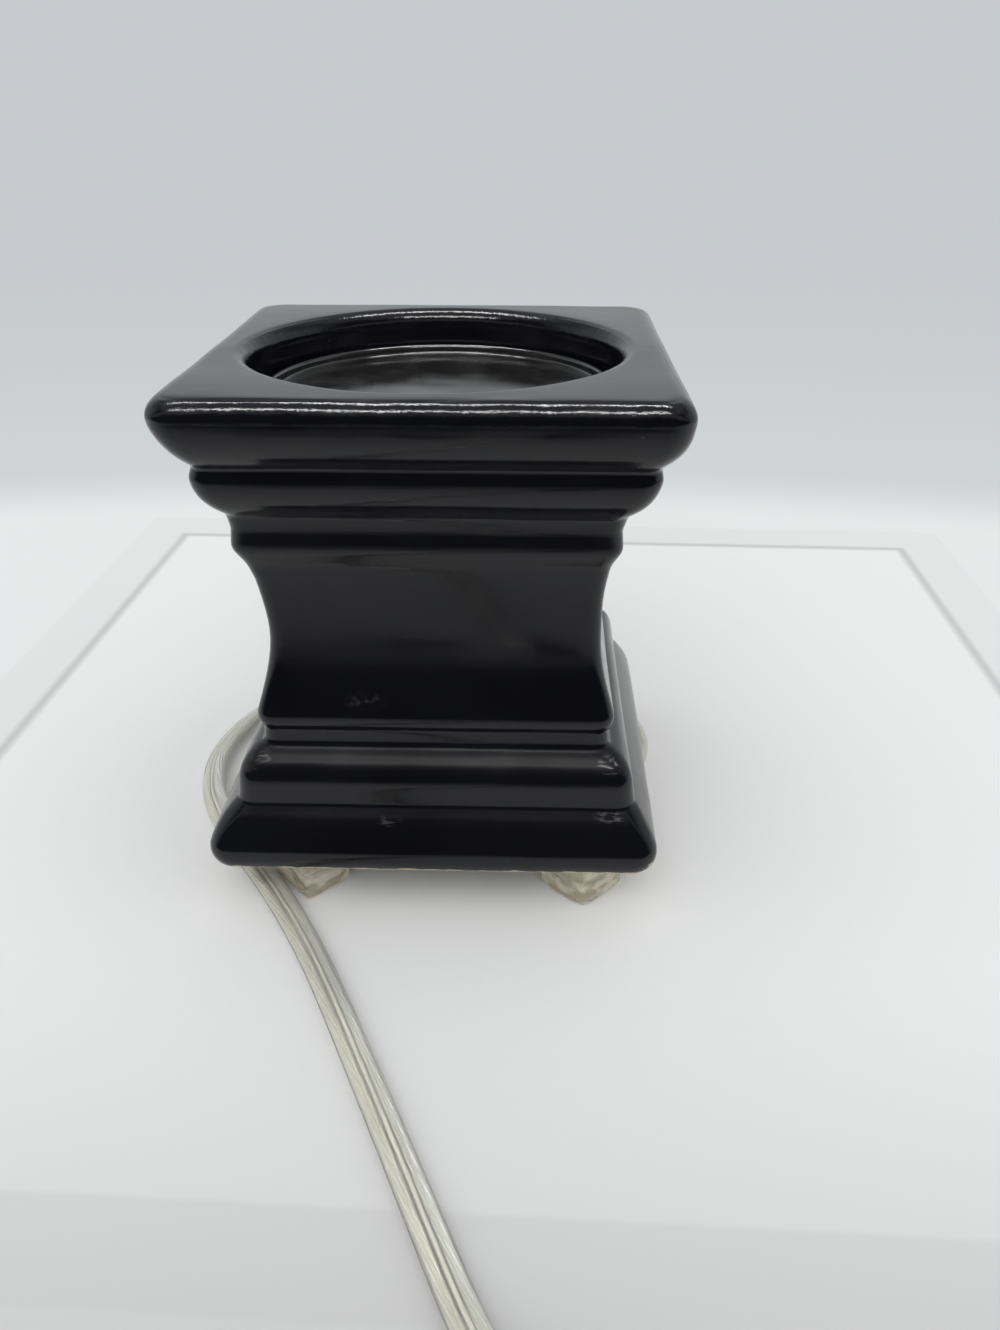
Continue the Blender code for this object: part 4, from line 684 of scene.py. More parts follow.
def carve(item, *steps):
    """Cut or join other meshes with a piece, for good: (operation, bmesh, place) steps."""
    tools = []
    for operation, work, matrix in steps:
        bmesh.ops.transform(work, matrix=matrix, verts=work.verts)
        bmesh.ops.recalc_face_normals(work, faces=work.faces)
        mesh = bpy.data.meshes.new("tool")
        work.to_mesh(mesh)
        work.free()
        tool = bpy.data.objects.new("tool", mesh)
        bpy.context.scene.collection.objects.link(tool)
        step = item.modifiers.new(operation.lower(), "BOOLEAN")
        step.operation = operation
        step.object = tool
        tools.append(tool)
    bpy.context.view_layer.update()
    graph = bpy.context.evaluated_depsgraph_get()
    shaped = bpy.data.meshes.new_from_object(item.evaluated_get(graph))
    item.modifiers.clear()
    item.data = shaped
    shaped.shade_smooth()
    shaped.set_sharp_from_angle(angle=SHARP_ANGLE)
    for tool in tools:
        bpy.data.objects.remove(tool, do_unlink=True)
    if not shaped.vertices:
        raise RuntimeError(f"{item.name} was cut away")


def square_ring(half_x, half_y, corner, z, side_steps=SIDE_STEPS, corner_steps=CORNER_STEPS):
    """A level ring with round corners."""
    points = []
    for side in range(4):
        wide, deep = (half_x, half_y) if side % 2 == 0 else (half_y, half_x)
        turn = Matrix.Rotation(math.radians(90 * side), 3, "Z")
        for step in range(corner_steps):
            angle = math.radians(90) * step / corner_steps
            x = wide - corner + corner * math.cos(angle)
            y = deep - corner + corner * math.sin(angle)
            points.append(turn @ Vector((x, y, z)))
        for step in range(side_steps):
            x = (wide - corner) * (1 - 2 * step / side_steps)
            points.append(turn @ Vector((x, deep, z)))
    return points


def round_ring(radius, z, like=None, steps=ROUND_STEPS):
    """A level circle, with its points in the directions of another ring if one is given."""
    if like:
        return [Vector((*(radius * point.xy.normalized()), z)) for point in like]
    angles = [math.tau * step / steps for step in range(steps)]
    return [Vector((radius * math.cos(a), radius * math.sin(a), z)) for a in angles]


def quarter(centre, radius, start, steps, turn=90):
    """Points on an arc of a profile, from a start angle in degrees."""
    points = []
    for step in range(steps + 1):
        angle = math.radians(start + turn * step / steps)
        points.append((centre[0] + radius * math.cos(angle), centre[1] + radius * math.sin(angle)))
    return points


def bow(start, end, rise):
    """Points after start on a round arc to end, standing rise to the outside of the chord."""
    start = Vector(start)
    end = Vector(end)
    chord = end - start
    outward = Vector((chord.y, -chord.x)).normalized()
    radius = (chord.length_squared / 4 + rise * rise) / (2 * rise)
    centre = (start + end) / 2 - outward * (radius - rise)
    half_angle = math.asin(chord.length / 2 / radius)
    points = []
    for step in range(1, CURVE_STEPS + 1):
        angle = half_angle * (2 * step / CURVE_STEPS - 1)
        arm = outward * math.cos(angle) + chord.normalized() * math.sin(angle)
        points.append(tuple(centre + radius * arm))
    return points


def hollow(waist, waist_z, half, z):
    """Points of the waist's hollow from z to the waist, on an arc upright at the waist."""
    depth = half - waist
    reach = z - waist_z
    radius = (depth * depth + reach * reach) / (2 * depth)
    points = []
    for step in range(CURVE_STEPS):
        height = reach * (1 - step / CURVE_STEPS)
        points.append((waist + radius - math.sqrt(radius * radius - height * height),
                       waist_z + height))
    return points


# How far each round moulding stands off its chord
BASE_EDGE_RISE = 0.0006
BASE_RISE = 0.0006
LOWER_RISE = 0.0017
LIP_RISE = 0.0004
CAPITAL_RISE = 0.0005
UPPER_RISE = 0.00135
SLAB_RISE = 0.00135
SLAB_EDGE_RISE = 0.0011


def levels(s, bottom, top):
    """Heights at which one moulding of the pedestal meets the next."""
    z = SimpleNamespace()
    z.base_top = bottom + s.base_height
    z.lower_top = z.base_top + s.lower_height
    z.neck_top = z.lower_top + s.neck_height
    z.lip = z.neck_top + s.lip_height
    z.waist = z.lip + s.waist_low
    z.crease = top - s.slab_height
    z.capital_top = z.crease - s.upper_height
    z.capital = z.capital_top - s.capital_band
    z.flare = z.capital - s.capital_round
    return z


def mouldings(s, bottom, top):
    """Half width and height along the outside, its creases rounded, with flat runs at its ends."""
    z = levels(s, bottom, top)
    foot = s.base_half - s.base_undercut
    lower = s.base_half - s.lower_setback
    neck = s.waist_half + s.neck_step
    lip = s.waist_half + s.lip_step
    flare = s.waist_half + s.flare_step
    capital = s.waist_half + s.capital_step
    upper = s.top_half - s.upper_setback
    face = s.top_half - s.top_edge

    line = [(foot - s.rim_flat, bottom), (foot, bottom)]
    line += bow(line[-1], (s.base_half, bottom + s.base_edge_height), BASE_EDGE_RISE)
    line += bow(line[-1], (lower, z.base_top), BASE_RISE)
    line += [(lower, z.base_top + s.lower_band)]
    line += bow(line[-1], (neck + s.neck_fillet / 2, z.lower_top), LOWER_RISE)
    line += [(neck, z.lower_top + s.neck_fillet), (neck, z.neck_top)]
    line += bow(line[-1], (lip, z.lip), LIP_RISE)
    line += hollow(s.waist_half, z.waist, lip, z.lip)[1:]
    line += [(s.waist_half, z.waist)]
    line += hollow(s.waist_half, z.waist, flare, z.flare)[::-1]
    line += bow(line[-1], (capital, z.capital), CAPITAL_RISE)
    line += [(capital - s.capital_dip, (z.capital + z.capital_top) / 2)]
    line += [(capital + s.capital_cove, z.capital_top)]
    line += bow(line[-1], (upper, z.capital_top + s.upper_roll), UPPER_RISE)
    line += [(s.top_half - s.crease_setback, z.crease)]
    line += bow(line[-1], (s.top_half, top - s.slab_edge), SLAB_RISE)
    line += bow(line[-1], (face, top), SLAB_EDGE_RISE)
    line += [(face - s.rim_flat, top)]

    creases = ((z.crease, s.slab_crease), (z.capital_top, s.capital_crease),
               (z.flare, s.flare_crease))

    def rounding(height):
        reach = s.crease_round
        for crease, own in creases:
            near = math.exp(-((height - crease) / s.crease_reach) ** 2)
            reach += (own - s.crease_round) * near
        return reach

    return soften(line, rounding)


def even_points(points, step):
    """Points at even distances along a line."""
    points = [Vector(point) for point in points]
    lengths = [0.0]
    for first, last in zip(points, points[1:]):
        gap = last - first
        lengths.append(lengths[-1] + (gap.xyz if len(gap) == 4 else gap).length)
    count = round(lengths[-1] / step)
    even = []
    index = 0
    for number in range(count):
        wanted = lengths[-1] * number / count
        while lengths[index + 1] < wanted:
            index += 1
        part = (wanted - lengths[index]) / (lengths[index + 1] - lengths[index])
        even.append(points[index].lerp(points[index + 1], part))
    return even + [points[-1]]


def soften(points, rounding):
    """The line with each crease rounded over the length that fits its height, and its ends kept."""
    even = even_points(points, FINE_STEP)
    last = len(even) - 1
    soft = []
    for index, here in enumerate(even):
        reach = rounding(here.y)
        width = min(round(BLUR_REACH * reach / FINE_STEP), index, last - index)
        middle = Vector((0.0, 0.0))
        total = 0.0
        for step in range(-width, width + 1):
            weight = math.exp(-0.5 * (step * FINE_STEP / reach) ** 2)
            middle += weight * even[index + step]
            total += weight
        soft.append(middle / total)
    return soft


def thin(points, turn, run):
    """Only the points that a smooth line needs: closer together where it turns."""
    kept = [points[0]]
    bend = 0.0
    gone = 0.0
    for before, here, after in zip(points, points[1:], points[2:]):
        bend += (here - before).angle(after - here)
        gone += (here - before).length
        if bend >= turn or gone >= run:
            kept.append(here)
            bend = 0.0
            gone = 0.0
    return kept + [points[-1]]


def ease(value, start, end):
    """0 before start and 1 after end, with a smooth change between them."""
    part = min(1.0, max(0.0, (value - start) / (end - start)))
    return part * part * (3 - 2 * part)


# Unevenness of the casting: height over its bottom face, and how far its left and right
# sides stand out there
CASTING = (
    (0.0000, 0.0010, 0.0000), (0.0100, 0.0011, 0.0004), (0.0141, 0.0007, 0.0010),
    (0.0200, 0.0001, 0.0003), (0.0300, 0.0000, 0.0004), (0.0380, 0.0002, 0.0008),
    (0.0523, -0.0004, 0.0006), (0.0640, 0.0002, 0.0001), (0.0705, 0.0009, 0.0000),
    (0.0763, 0.0005, -0.0004), (0.0853, 0.0000, 0.0002), (0.0963, -0.0005, 0.0006),
    (0.1020, 0.0000, 0.0002), (0.1066, 0.0000, 0.0000),
)


def casting_at(height):
    """How far the left and the right side stand out at a height over the bottom face."""
    height = min(max(height, CASTING[0][0]), CASTING[-1][0])
    for (low, *first), (high, *last) in zip(CASTING, CASTING[1:]):
        if height <= high:
            part = ease(height, low, high)
            return [a + (b - a) * part for a, b in zip(first, last)]


# The slab's front edge, where the casting wobbles: from its front in, and from its top down
WOBBLE_FRONT = (0.005, 0.003)
WOBBLE_TOP = (0.008, 0.004)
STEADY_HEIGHT = 0.004  # the swells start from nothing over this height at the bottom
FACE_PARTS = (0.25, 0.5, 0.75)
WELL_STEPS = 6


def uneven_casting(s, rows, bottom, top):
    """Move the glazed surface as the mould and the kiln left it."""
    for row in rows:
        for vert in row:
            x, y, z = vert.co
            outer = max(abs(x), abs(y))
            swell = noise.noise(vert.co / s.slow_reach) * s.slow_swell
            swell += noise.noise(vert.co / s.quick_reach) * s.quick_swell
            on_edge = ease(-y, *[s.top_half - inset for inset in WOBBLE_FRONT])
            on_edge *= ease(z, *[top - depth for depth in WOBBLE_TOP])
            swell += noise.noise(vert.co / s.edge_reach) * s.edge_swell * on_edge
            vert.co += vert.normal * swell * ease(z, bottom, bottom + STEADY_HEIGHT)
            if outer > s.well_radius or z < s.ledge_z:
                left, right = casting_at(z - bottom)
                vert.co.x += right * ease(x, 0.0, s.waist_half) - left * ease(-x, 0.0, s.waist_half)


def make_pedestal(s):
    """The glazed shell: mouldings outside, a well from above and a cavity from below."""
    low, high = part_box("ceramic_body")
    bottom, top = low.z, high.z

    def corner_at(half):
        part = (half - s.waist_half) / (s.top_half - s.waist_half)
        return s.waist_corner + part * (s.top_corner - s.waist_corner)

    def square(half, height, outer=None):
        return square_ring(half, half, corner_at(outer or half), height)

    outside = thin(mouldings(s, bottom, top), RING_TURN, RING_RUN)
    rings = [square(half, height) for half, height in outside]
    edge = rings[-1]
    aside = Vector((-s.well_shift, 0.0, 0.0))
    mouth = [point + aside for point in round_ring(s.well_radius + s.well_round, top, edge)]
    for part in FACE_PARTS:
        rings.append([first.lerp(last, part) for first, last in zip(edge, mouth)])

    well = [(s.well_radius + s.well_round, top)]
    well += quarter((s.well_radius + s.well_round, top - s.well_round), s.well_round, 90, 12)[1:]
    wall_end = s.ledge_z + s.well_fillet
    wall_top = top - s.well_round
    for step in range(1, WELL_STEPS):
        well.append((s.well_radius, wall_top + (wall_end - wall_top) * step / WELL_STEPS))
    well += quarter((s.well_radius - s.well_fillet, wall_end), s.well_fillet, 0, 5, -90)
    glazed = len(rings) + len(well)
    under = s.ledge_z - s.ledge_thickness
    for radius, height in well:
        rings.append([point + aside for point in round_ring(radius, height, edge)])
    rings += [round_ring(s.ledge_hole, height, edge) for height in (s.ledge_z, under)]

    z = levels(s, bottom, top)
    neck = s.waist_half + s.neck_step - s.wall
    waist = s.waist_half - s.wall
    capital = s.waist_half + s.capital_step - s.wall
    plate = s.base_half - s.base_undercut - s.plate_rim
    opening = s.base_half - s.lower_setback - s.wall
    seat = bottom + s.plate_seat
    cavity = [
        (capital, under), (capital, z.capital), (waist, (z.waist + z.capital) / 2),
        (waist, z.waist - s.waist_low / 2), (neck, z.neck_top), (neck, z.lower_top),
        (opening, z.base_top + s.lower_band), (opening, seat), (plate, seat), (plate, bottom),
    ]
    rings += [square(half, height, half + s.wall) for half, height in cavity]

    work, rows = skin(rings, loop=True)
    work.normal_update()
    uneven_casting(s, rows[:glazed], bottom, top)
    put("pedestal", work, glazed_ceramic(s, bottom, top), stands_for=["ceramic_body"])


# Rings under the pan and on its floor, as shares of the floor's radius
PAN_UNDER = (0.02, 0.4, 0.8, 0.97)
PAN_FLOOR = (0.88, 0.76, 0.62, 0.48, 0.34, 0.2, 0.1, 0.02)
DENT_REACH = 0.011


def make_pan(s):
    """Pressed pan with sloped sides, a low rolled rim and a level floor."""
    low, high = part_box("warming_pan")
    under, rim, outer = low.z, high.z, high.x
    floor = under + s.sheet
    mouth = outer - s.flange
    base = mouth - s.slope
    roll = s.flange / 2
    profile = [(base * part, under) for part in PAN_UNDER]
    profile += quarter((base, under + s.sheet), s.sheet, -90, 4)
    profile += [(mouth + s.sheet, rim - 2 * roll)]
    profile += quarter((outer - roll, rim - roll), roll, -80, 14, 260)
    profile += quarter((mouth - s.fillet, floor + s.fillet), s.fillet, 0, 6, -90)
    profile += [(base * part, floor) for part in PAN_FLOOR]
    work, rows = skin([round_ring(radius, z) for radius, z in profile])
    for row in rows[-len(PAN_FLOOR):]:
        for vert in row:
            vert.co.z += noise.noise(vert.co / DENT_REACH) * s.dent
    put("warming_pan_dish", work, coated_sheet(s), stands_for=["warming_pan"])


FEET = ("foot_front_left", "foot_front_right", "foot_rear_left", "foot_rear_right")
CORD_FOOT = "foot_front_left"  # the cord lies along its left side, which stays flat
CORD_SQUEEZE = 0.87  # share of its reach that this side keeps, to leave room for the cord
FOOT_RING_STEPS = (16, 6)
FOOT_SIDE_STEPS = 12
SOLE_INSET = 1.6  # in roundings of the lower edge


def foot_profile(s, bottom, top):
    """Half width and height of a foot from its sole up to the adhesive."""
    half = s.side / 2
    low = bottom + s.edge
    high = top - s.edge / 2
    line = [(half - s.taper - s.edge * SOLE_INSET, bottom)]
    line += quarter((half - s.taper - s.edge, low), s.edge, -90, 5)
    for step in range(1, FOOT_SIDE_STEPS):
        part = step / FOOT_SIDE_STEPS
        line.append((half - s.taper * (1 - part), low + (high - low) * part))
    return line + [(half, high), (half - s.edge / 3, top)]


def swell_sides(s, rows, beside_cord):
    """Swell the middle of a foot's sides, but bring in the one that the cord lies along."""
    for row in rows:
        for vert in row:
            wide = abs(vert.co.x)
            deep = abs(vert.co.y)
            swell = s.bulge * (1 - (min(wide, deep) / max(wide, deep)) ** 2)
            if wide <= deep:
                vert.co.y += math.copysign(swell, vert.co.y)
            elif vert.co.x > 0 or not beside_cord:
                vert.co.x += math.copysign(swell, vert.co.x)
            if vert.co.x < 0 and beside_cord:
                vert.co.x *= CORD_SQUEEZE


def ripple_sides(s, rows, corner):
    """Ripples in a foot's sides, which differ from foot to foot."""
    for row in rows:
        for vert in row:
            arm = Vector((vert.co.x, vert.co.y, 0.0)).normalized()
            place = Vector((vert.co.x + corner.x, vert.co.y + corner.y, 2 * vert.co.z))
            vert.co += arm * noise.noise(place / s.ripple_reach) * s.ripple


def make_feet(s):
    """Four clear bumpers, tapered to the floor, stuck under the base."""
    resin = resin_with_painted_streaks(s)
    # Adhesive pad, made pale: partly its own colour, partly painted light for what shows through
    # the foot
    painted_light_pad = matt_sheet("adhesive", s.adhesive, 0.55, 0.0010, 0.00005)
    for name in FEET:
        low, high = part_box(name)
        middle = (low + high) / 2
        matrix = Matrix.Translation((middle.x, middle.y, 0.0)) @ Matrix.Rotation(s.turn, 4, "Z")
        profile = foot_profile(s, low.z, high.z)
        work, rows = skin([square_ring(half, half, s.corner, z, *FOOT_RING_STEPS)
                           for half, z in profile])
        swell_sides(s, rows, name == CORD_FOOT)
        ripple_sides(s, rows[1:-1], low)
        item = put(name + "_bumper", work, resin, stands_for=[name], matrix=matrix)
        item.data.materials.append(painted_light_pad)
        for face in item.data.polygons:
            if face.center.z > high.z - s.edge / 4:
                face.material_index = 1


def smooth_route(route, step):
    """Even points on a smooth curve through a route, with its first and last runs straight."""
    knots = [Vector(point) for point in route]
    fine = [knots[0]]
    for before, first, last, after in zip(knots, knots[1:], knots[2:], knots[3:]):
        for piece in range(ROUTE_STEPS):
            t = piece / ROUTE_STEPS
            slope = (last - before) / 2
            pull = before - 2.5 * first + 2 * last - after / 2
            swing = (3 * first - before - 3 * last + after) / 2
            fine.append(first + t * (slope + t * (pull + t * swing)))
    fine += [knots[-2], knots[-1]]
    return even_points(fine, step)


def stretch(s, start, leave, route, end, arrive, step):
    """Cord between two faces, square to each of them for one cord width."""
    start = Vector(start)
    end = Vector(end)
    leave = s.width * Vector((*leave, 0.0))
    arrive = s.width * Vector((*arrive, 0.0))
    return smooth_route([start, start + leave, *route, end - arrive, end], step)


# The coil in turns and degrees, and the roll of a cord that lies on edge
COIL_REVERSAL = 0.5
CLIMB_START = 0.125
CLIMB_TURNS = 0.25
COIL_START_ANGLE = -90.0
COIL_POINTS_PER_TURN = 72
ON_EDGE = 90


def polar(radius, angle, z=0.0):
    """A point at a radius and an angle in degrees."""
    turn = math.radians(angle)
    return Vector((radius * math.cos(turn), radius * math.sin(turn), z))


def coil_turns(s):
    """Turns of the whole coil, in and out again."""
    return 2 * s.coil_turns_in + COIL_REVERSAL


def coil_levels(s):
    """Heights of the middle of the cord, which lies on edge, in the coil's two layers."""
    low = s.tie_sheet + 2 * SEAT_GAP + s.width / 2
    return low, low + s.width + s.layer_gap


def coil_heading(turn):
    """Direction of travel at a turn: the coil is wound clockwise."""
    return polar(1.0, COIL_START_ANGLE - 360.0 * turn - 90.0)


def coil_points(s):
    """The coil's path: in on the lower layer, up at the reversal, out on the upper one."""
    turns = coil_turns(s)
    steps = round(turns * COIL_POINTS_PER_TURN)
    low, high = coil_levels(s)
    points = []
    for step in range(steps + 1):
        turn = turns * step / steps
        inward = min(turn, turns - turn)
        climb = ease(turn - s.coil_turns_in, CLIMB_START, CLIMB_START + CLIMB_TURNS)
        arm = polar(s.coil_radius - s.coil_pitch * inward, COIL_START_ANGLE - 360.0 * turn)
        level = low + climb * (high - low)
        points.append(Vector((s.coil_x + arm.x, s.coil_y + arm.y, level, ON_EDGE)))
    return points


def cord_frames(points):
    """At each point of a route: its place, and the cord's side and up directions."""
    frames = []
    last = len(points) - 1
    for index, point in enumerate(points):
        ahead = points[min(index + 1, last)].xyz - points[max(index - 1, 0)].xyz
        ahead.normalize()
        side = ahead.cross(Vector((0.0, 0.0, 1.0))).normalized()
        turn = Matrix.Rotation(math.radians(point.w), 3, ahead)
        frames.append((point.xyz, turn @ side, turn @ side.cross(ahead)))
    return frames


LOBE_REACH = math.radians(80)
LOBE_STEPS = 10
GROOVE_SHOULDER = 0.35


def cord_section(s):
    """Outline of the flat cord: two round cores side by side with a groove between."""
    lobe = s.thickness / 2
    middle = s.width / 2 - lobe
    right = []
    for step in range(LOBE_STEPS + 1):
        angle = LOBE_REACH * (2 * step / LOBE_STEPS - 1)
        right.append((middle + lobe * math.cos(angle), lobe * math.sin(angle)))
    left = [(-x, -y) for x, y in right]
    dip = lobe - s.groove
    x = middle * GROOVE_SHOULDER
    y = dip + s.groove * GROOVE_SHOULDER
    return [*right, (x, y), (0.0, dip), (-x, y), *left, (-x, -y), (0.0, -dip), (x, -y)]


def jacket(s, name, points, vinyl, stands_for):
    """The clear jacket along a route."""
    section = cord_section(s)
    rings = [[place + side * x + up * y for x, y in section]
             for place, side, up in cord_frames(points)]
    return put(name, skin(rings)[0], vinyl, stands_for=stands_for)


STRAND_POINTS = 6
HIGHLIGHT_LINE_ROUND = 0.8


def strands(s, name, points, sideways, metal, parent):
    """One bunch of strands inside the jacket, turning slowly along it."""
    rings = []
    gone = 0.0
    before = points[0].xyz
    count = STRAND_POINTS * s.strand_count
    for place, side, up in cord_frames(points):
        gone += (place - before).length
        before = place
        ring = []
        for step in range(count):
            angle = math.tau * step / count
            height = s.core_radius + s.strand_height * (math.cos(angle * s.strand_count) - 1) / 2
            turn = angle + math.tau * gone / s.lay
            across = sideways + height * math.cos(turn)
            ring.append(place + side * across + up * height * math.sin(turn))
        rings.append(ring)
    put(name, skin(rings)[0], metal, parent=parent, sharp=math.pi)


def seam(s, name, points, finish, parent):
    """A pale strip in the web between the two cores: a painted highlight for the light that the
    groove focuses there.
    """
    half_x = s.highlight_line_width / 2
    half_y = s.highlight_line_height / 2
    outline = square_ring(half_x, half_y, HIGHLIGHT_LINE_ROUND * half_x, 0.0, 2, 3)
    rings = [[place + side * point.x + up * point.y for point in outline]
             for place, side, up in cord_frames(points)]
    put(name, skin(rings)[0], finish, parent=parent)


# Lengths of cord from one ring of its mesh to the next
LEAD_STEP = 0.0007
RUN_STEP = 0.0015


def make_cord(s, switch):
    """The cord from the boot to the switch, and on through the coil to the plug."""
    vinyl = clear_vinyl("clear_vinyl", s.vinyl, cloud=0.09, gloss=0.03, waves=0.000002)
    # The pale strip in the web is a painted highlight
    pale = moulded_plastic("seam", s.seam, 0.40)
    metals = (strand_metal("tinned_strands", s.tinned), strand_metal("plain_strands", s.copper))
    boot_low, boot_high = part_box("cord_boot")
    plug_low, plug_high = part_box("plug_body")
    wheel_low, wheel_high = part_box("switch_wheel")
    boot_y = (boot_low.y + boot_high.y) / 2
    boot_z = boot_low.z + (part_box("base_plate")[0].z - SEAT_GAP - boot_low.z) / 2
    heading = Vector((math.cos(switch.heading), math.sin(switch.heading), 0.0))
    entry = Vector((switch.start_x, switch.start_y, (wheel_low.z + wheel_high.z) / 2))
    boot_tip = (boot_high.x + SEAT_GAP, boot_y, boot_z, 0)
    near = (*(entry - SEAT_GAP * heading), 0)
    far = (*(entry + (switch.length + SEAT_GAP) * heading), 0)
    forward = Vector((1.0, 0.0, 0.0))
    lead = stretch(s, boot_tip, forward, LEAD_ROUTE, near, heading, LEAD_STEP)

    coil = coil_points(s)
    plug_tip = (plug_low.x - SEAT_GAP, (plug_low.y + plug_high.y) / 2,
                (plug_low.z + plug_high.z) / 2, 0)
    enter = coil_heading(0.0)
    depart = coil_heading(coil_turns(s))
    link = stretch(s, far, heading, LINK_ROUTE, (*coil[0].xyz, ON_EDGE), enter, RUN_STEP)
    tail = stretch(s, (*coil[-1].xyz, ON_EDGE), depart, TAIL_ROUTE, plug_tip, forward, RUN_STEP)
    run = link[:-1] + coil[:-1] + tail

    made = []
    for name, points, nodes in (("lead_jacket", lead, ["cord_lead"]),
                                ("run_jacket", run, ["cord_link", "cord_coil", "cord_tail"])):
        item = jacket(s, name, points, vinyl, nodes)
        middle = s.width / 2 - s.thickness / 2
        for word, sideways, metal in (("left", -middle, metals[0]), ("right", middle, metals[1])):
            strands(s, f"{name}_{word}_strands", points, sideways, metal, item)
        seam(s, f"{name}_seam", points, pale, item)
        made.append(item)
    make_tie(s)
    return made, lead, run


TIE_REACH = math.radians(8)
TIE_CORNER = 0.0012
TIE_EDGE = 0.3  # in thicknesses of the tie


def make_tie(s):
    """A woven band round the bundle of turns."""
    low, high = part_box("coil_tie")
    middle = (low + high) / 2
    toward = Vector((middle.x - s.coil_x, middle.y - s.coil_y)).normalized()
    angle = math.atan2(toward.y, toward.x)
    layer_low, layer_high = coil_levels(s)
    bottom = layer_low - s.width / 2 - SEAT_GAP
    top = layer_high + s.width / 2 + SEAT_GAP
    radii = []
    for point in coil_points(s):
        arm = Vector((point.x - s.coil_x, point.y - s.coil_y))
        if arm.angle(toward) < TIE_REACH:
            radii.append(arm.length)
    inner = min(radii) - s.thickness / 2 - SEAT_GAP
    outer = max(radii) + s.thickness / 2 + SEAT_GAP
    half_x = (outer - inner) / 2
    half_z = (top - bottom) / 2
    x = (inner + outer) / 2
    z = (bottom + top) / 2
    edge = s.tie_sheet * TIE_EDGE
    half_y = s.tie_width / 2
    loops = []
    for grow, y in ((0.0, -half_y + edge), (0.0, half_y - edge), (edge, half_y),
                    (s.tie_sheet - edge, half_y), (s.tie_sheet, half_y - edge),
                    (s.tie_sheet, -half_y + edge), (s.tie_sheet - edge, -half_y), (edge, -half_y)):
        flat = square_ring(half_x + grow, half_z + grow, TIE_CORNER + grow, 0.0, 8, 5)
        loops.append([Vector((point.x + x, y, point.y + z)) for point in flat])
    matrix = Matrix.Translation((s.coil_x, s.coil_y, 0.0)) @ Matrix.Rotation(angle, 4, "Z")
    put("coil_band", skin(loops, loop=True)[0], woven_band("tie", s.tie),
        stands_for=["coil_tie"], matrix=matrix)


def declare_cord(s, switch):
    """Make the cord with its coil and tie."""
    made, lead, run = make_cord(s, switch)


# The switch's shells and the screw that holds them together
SHELL_PARTING = 0.0003
SHELL_FLAT = 1.8  # inset of the flat face, in roundings of the outer edge
SHELL_CORNER = 0.0005
SHELL_RING_STEPS = (10, 10)
SCREW_HOLE = 0.0017
SCREW_HEAD = 0.0014
CUT_MARGIN = 0.004


def make_switch(s):
    """Two milky shells round a ribbed thumbwheel."""
    shell = moulded_plastic("switch_shell", s.shell, 0.30)
    wheel_low, wheel_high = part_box("switch_wheel")
    pin_low, pin_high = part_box("switch_pin")
    screw_low, screw_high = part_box("switch_screw")
    start = Matrix.Translation((s.start_x, s.start_y, 0.0)) @ Matrix.Rotation(s.heading, 4, "Z")
    half_length = s.length / 2
    half_width = s.width / 2
    wheel_middle = (wheel_low + wheel_high) / 2
    wheel_radius = (wheel_high.x - wheel_low.x) / 2
    wheel_room = wheel_radius + s.wheel_clearance
    wheel_tall = (wheel_high.z - wheel_low.z) / 2 + s.wheel_clearance / 2
    pin_room = (pin_high.x - pin_low.x) / 2 + SEAT_GAP
    screw_middle = (screw_low + screw_high) / 2
    head_room = (screw_high.x - screw_low.x) / 2 + SEAT_GAP
    head_low = screw_high.z - SCREW_HEAD - SEAT_GAP
    pocket = [(wheel_room, -wheel_tall), (wheel_room, wheel_tall)]
    pin_hole = [(pin_room, pin_low.z - SEAT_GAP), (pin_room, pin_high.z + SEAT_GAP)]
    screw_hole = [(SCREW_HOLE, screw_low.z - SEAT_GAP), (SCREW_HOLE, head_low),
                  (head_room, head_low), (head_room, screw_high.z + CUT_MARGIN)]
    at_pin = Matrix.Translation((wheel_middle.x, wheel_middle.y, 0.0))
    at_screw = Matrix.Translation((screw_middle.x, screw_middle.y, 0.0))
    for name, node, up in (("switch_case_lower", "switch_lower_shell", False),
                           ("switch_case_upper", "switch_upper_shell", True)):
        low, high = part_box(node)
        outline = [(SHELL_PARTING, low.z), (0.0, low.z + SHELL_PARTING)]
        outline += [(s.edge - x, z) for x, z in quarter((0.0, high.z - s.edge), s.edge, 0, 6)]
        outline.append((s.edge * SHELL_FLAT, high.z))
        if not up:
            outline = [(inset, low.z + high.z - z) for inset, z in outline[::-1]]
        rings = []
        for inset, z in outline:
            corner = max(SHELL_CORNER, s.corner - inset)
            ring = square_ring(half_length - inset, half_width - inset, corner, z,
                               *SHELL_RING_STEPS)
            rings.append([Vector((half_length, 0.0, 0.0)) + point for point in ring])
        case = put(name, skin(rings)[0], shell, stands_for=[node], matrix=start)
        carve(case,
              ("DIFFERENCE", turned(pocket, 64), Matrix.Translation(wheel_middle)),
              ("DIFFERENCE", turned(pin_hole, 24), at_pin),
              ("DIFFERENCE", turned(screw_hole, 32), at_screw))
    make_wheel(s, wheel_middle, wheel_radius, wheel_high.z - wheel_low.z)


def turned(profile, steps):
    """A turned solid from (radius, height) points."""
    return skin([round_ring(radius, z, steps=steps) for radius, z in profile])[0]


# Thumbwheel: insets and depths of the groove round each face, and how its edge is ribbed
WHEEL_BORE = 0.0018
WHEEL_GROOVE = ((0.0030, 0.0), (0.0024, 0.0004), (0.0014, 0.0))
WHEEL_CHAMFER = 0.0006
CHAMFER_RIB = 0.6
WHEEL_RIB = 0.0005
TOOTH_POINTS = 6


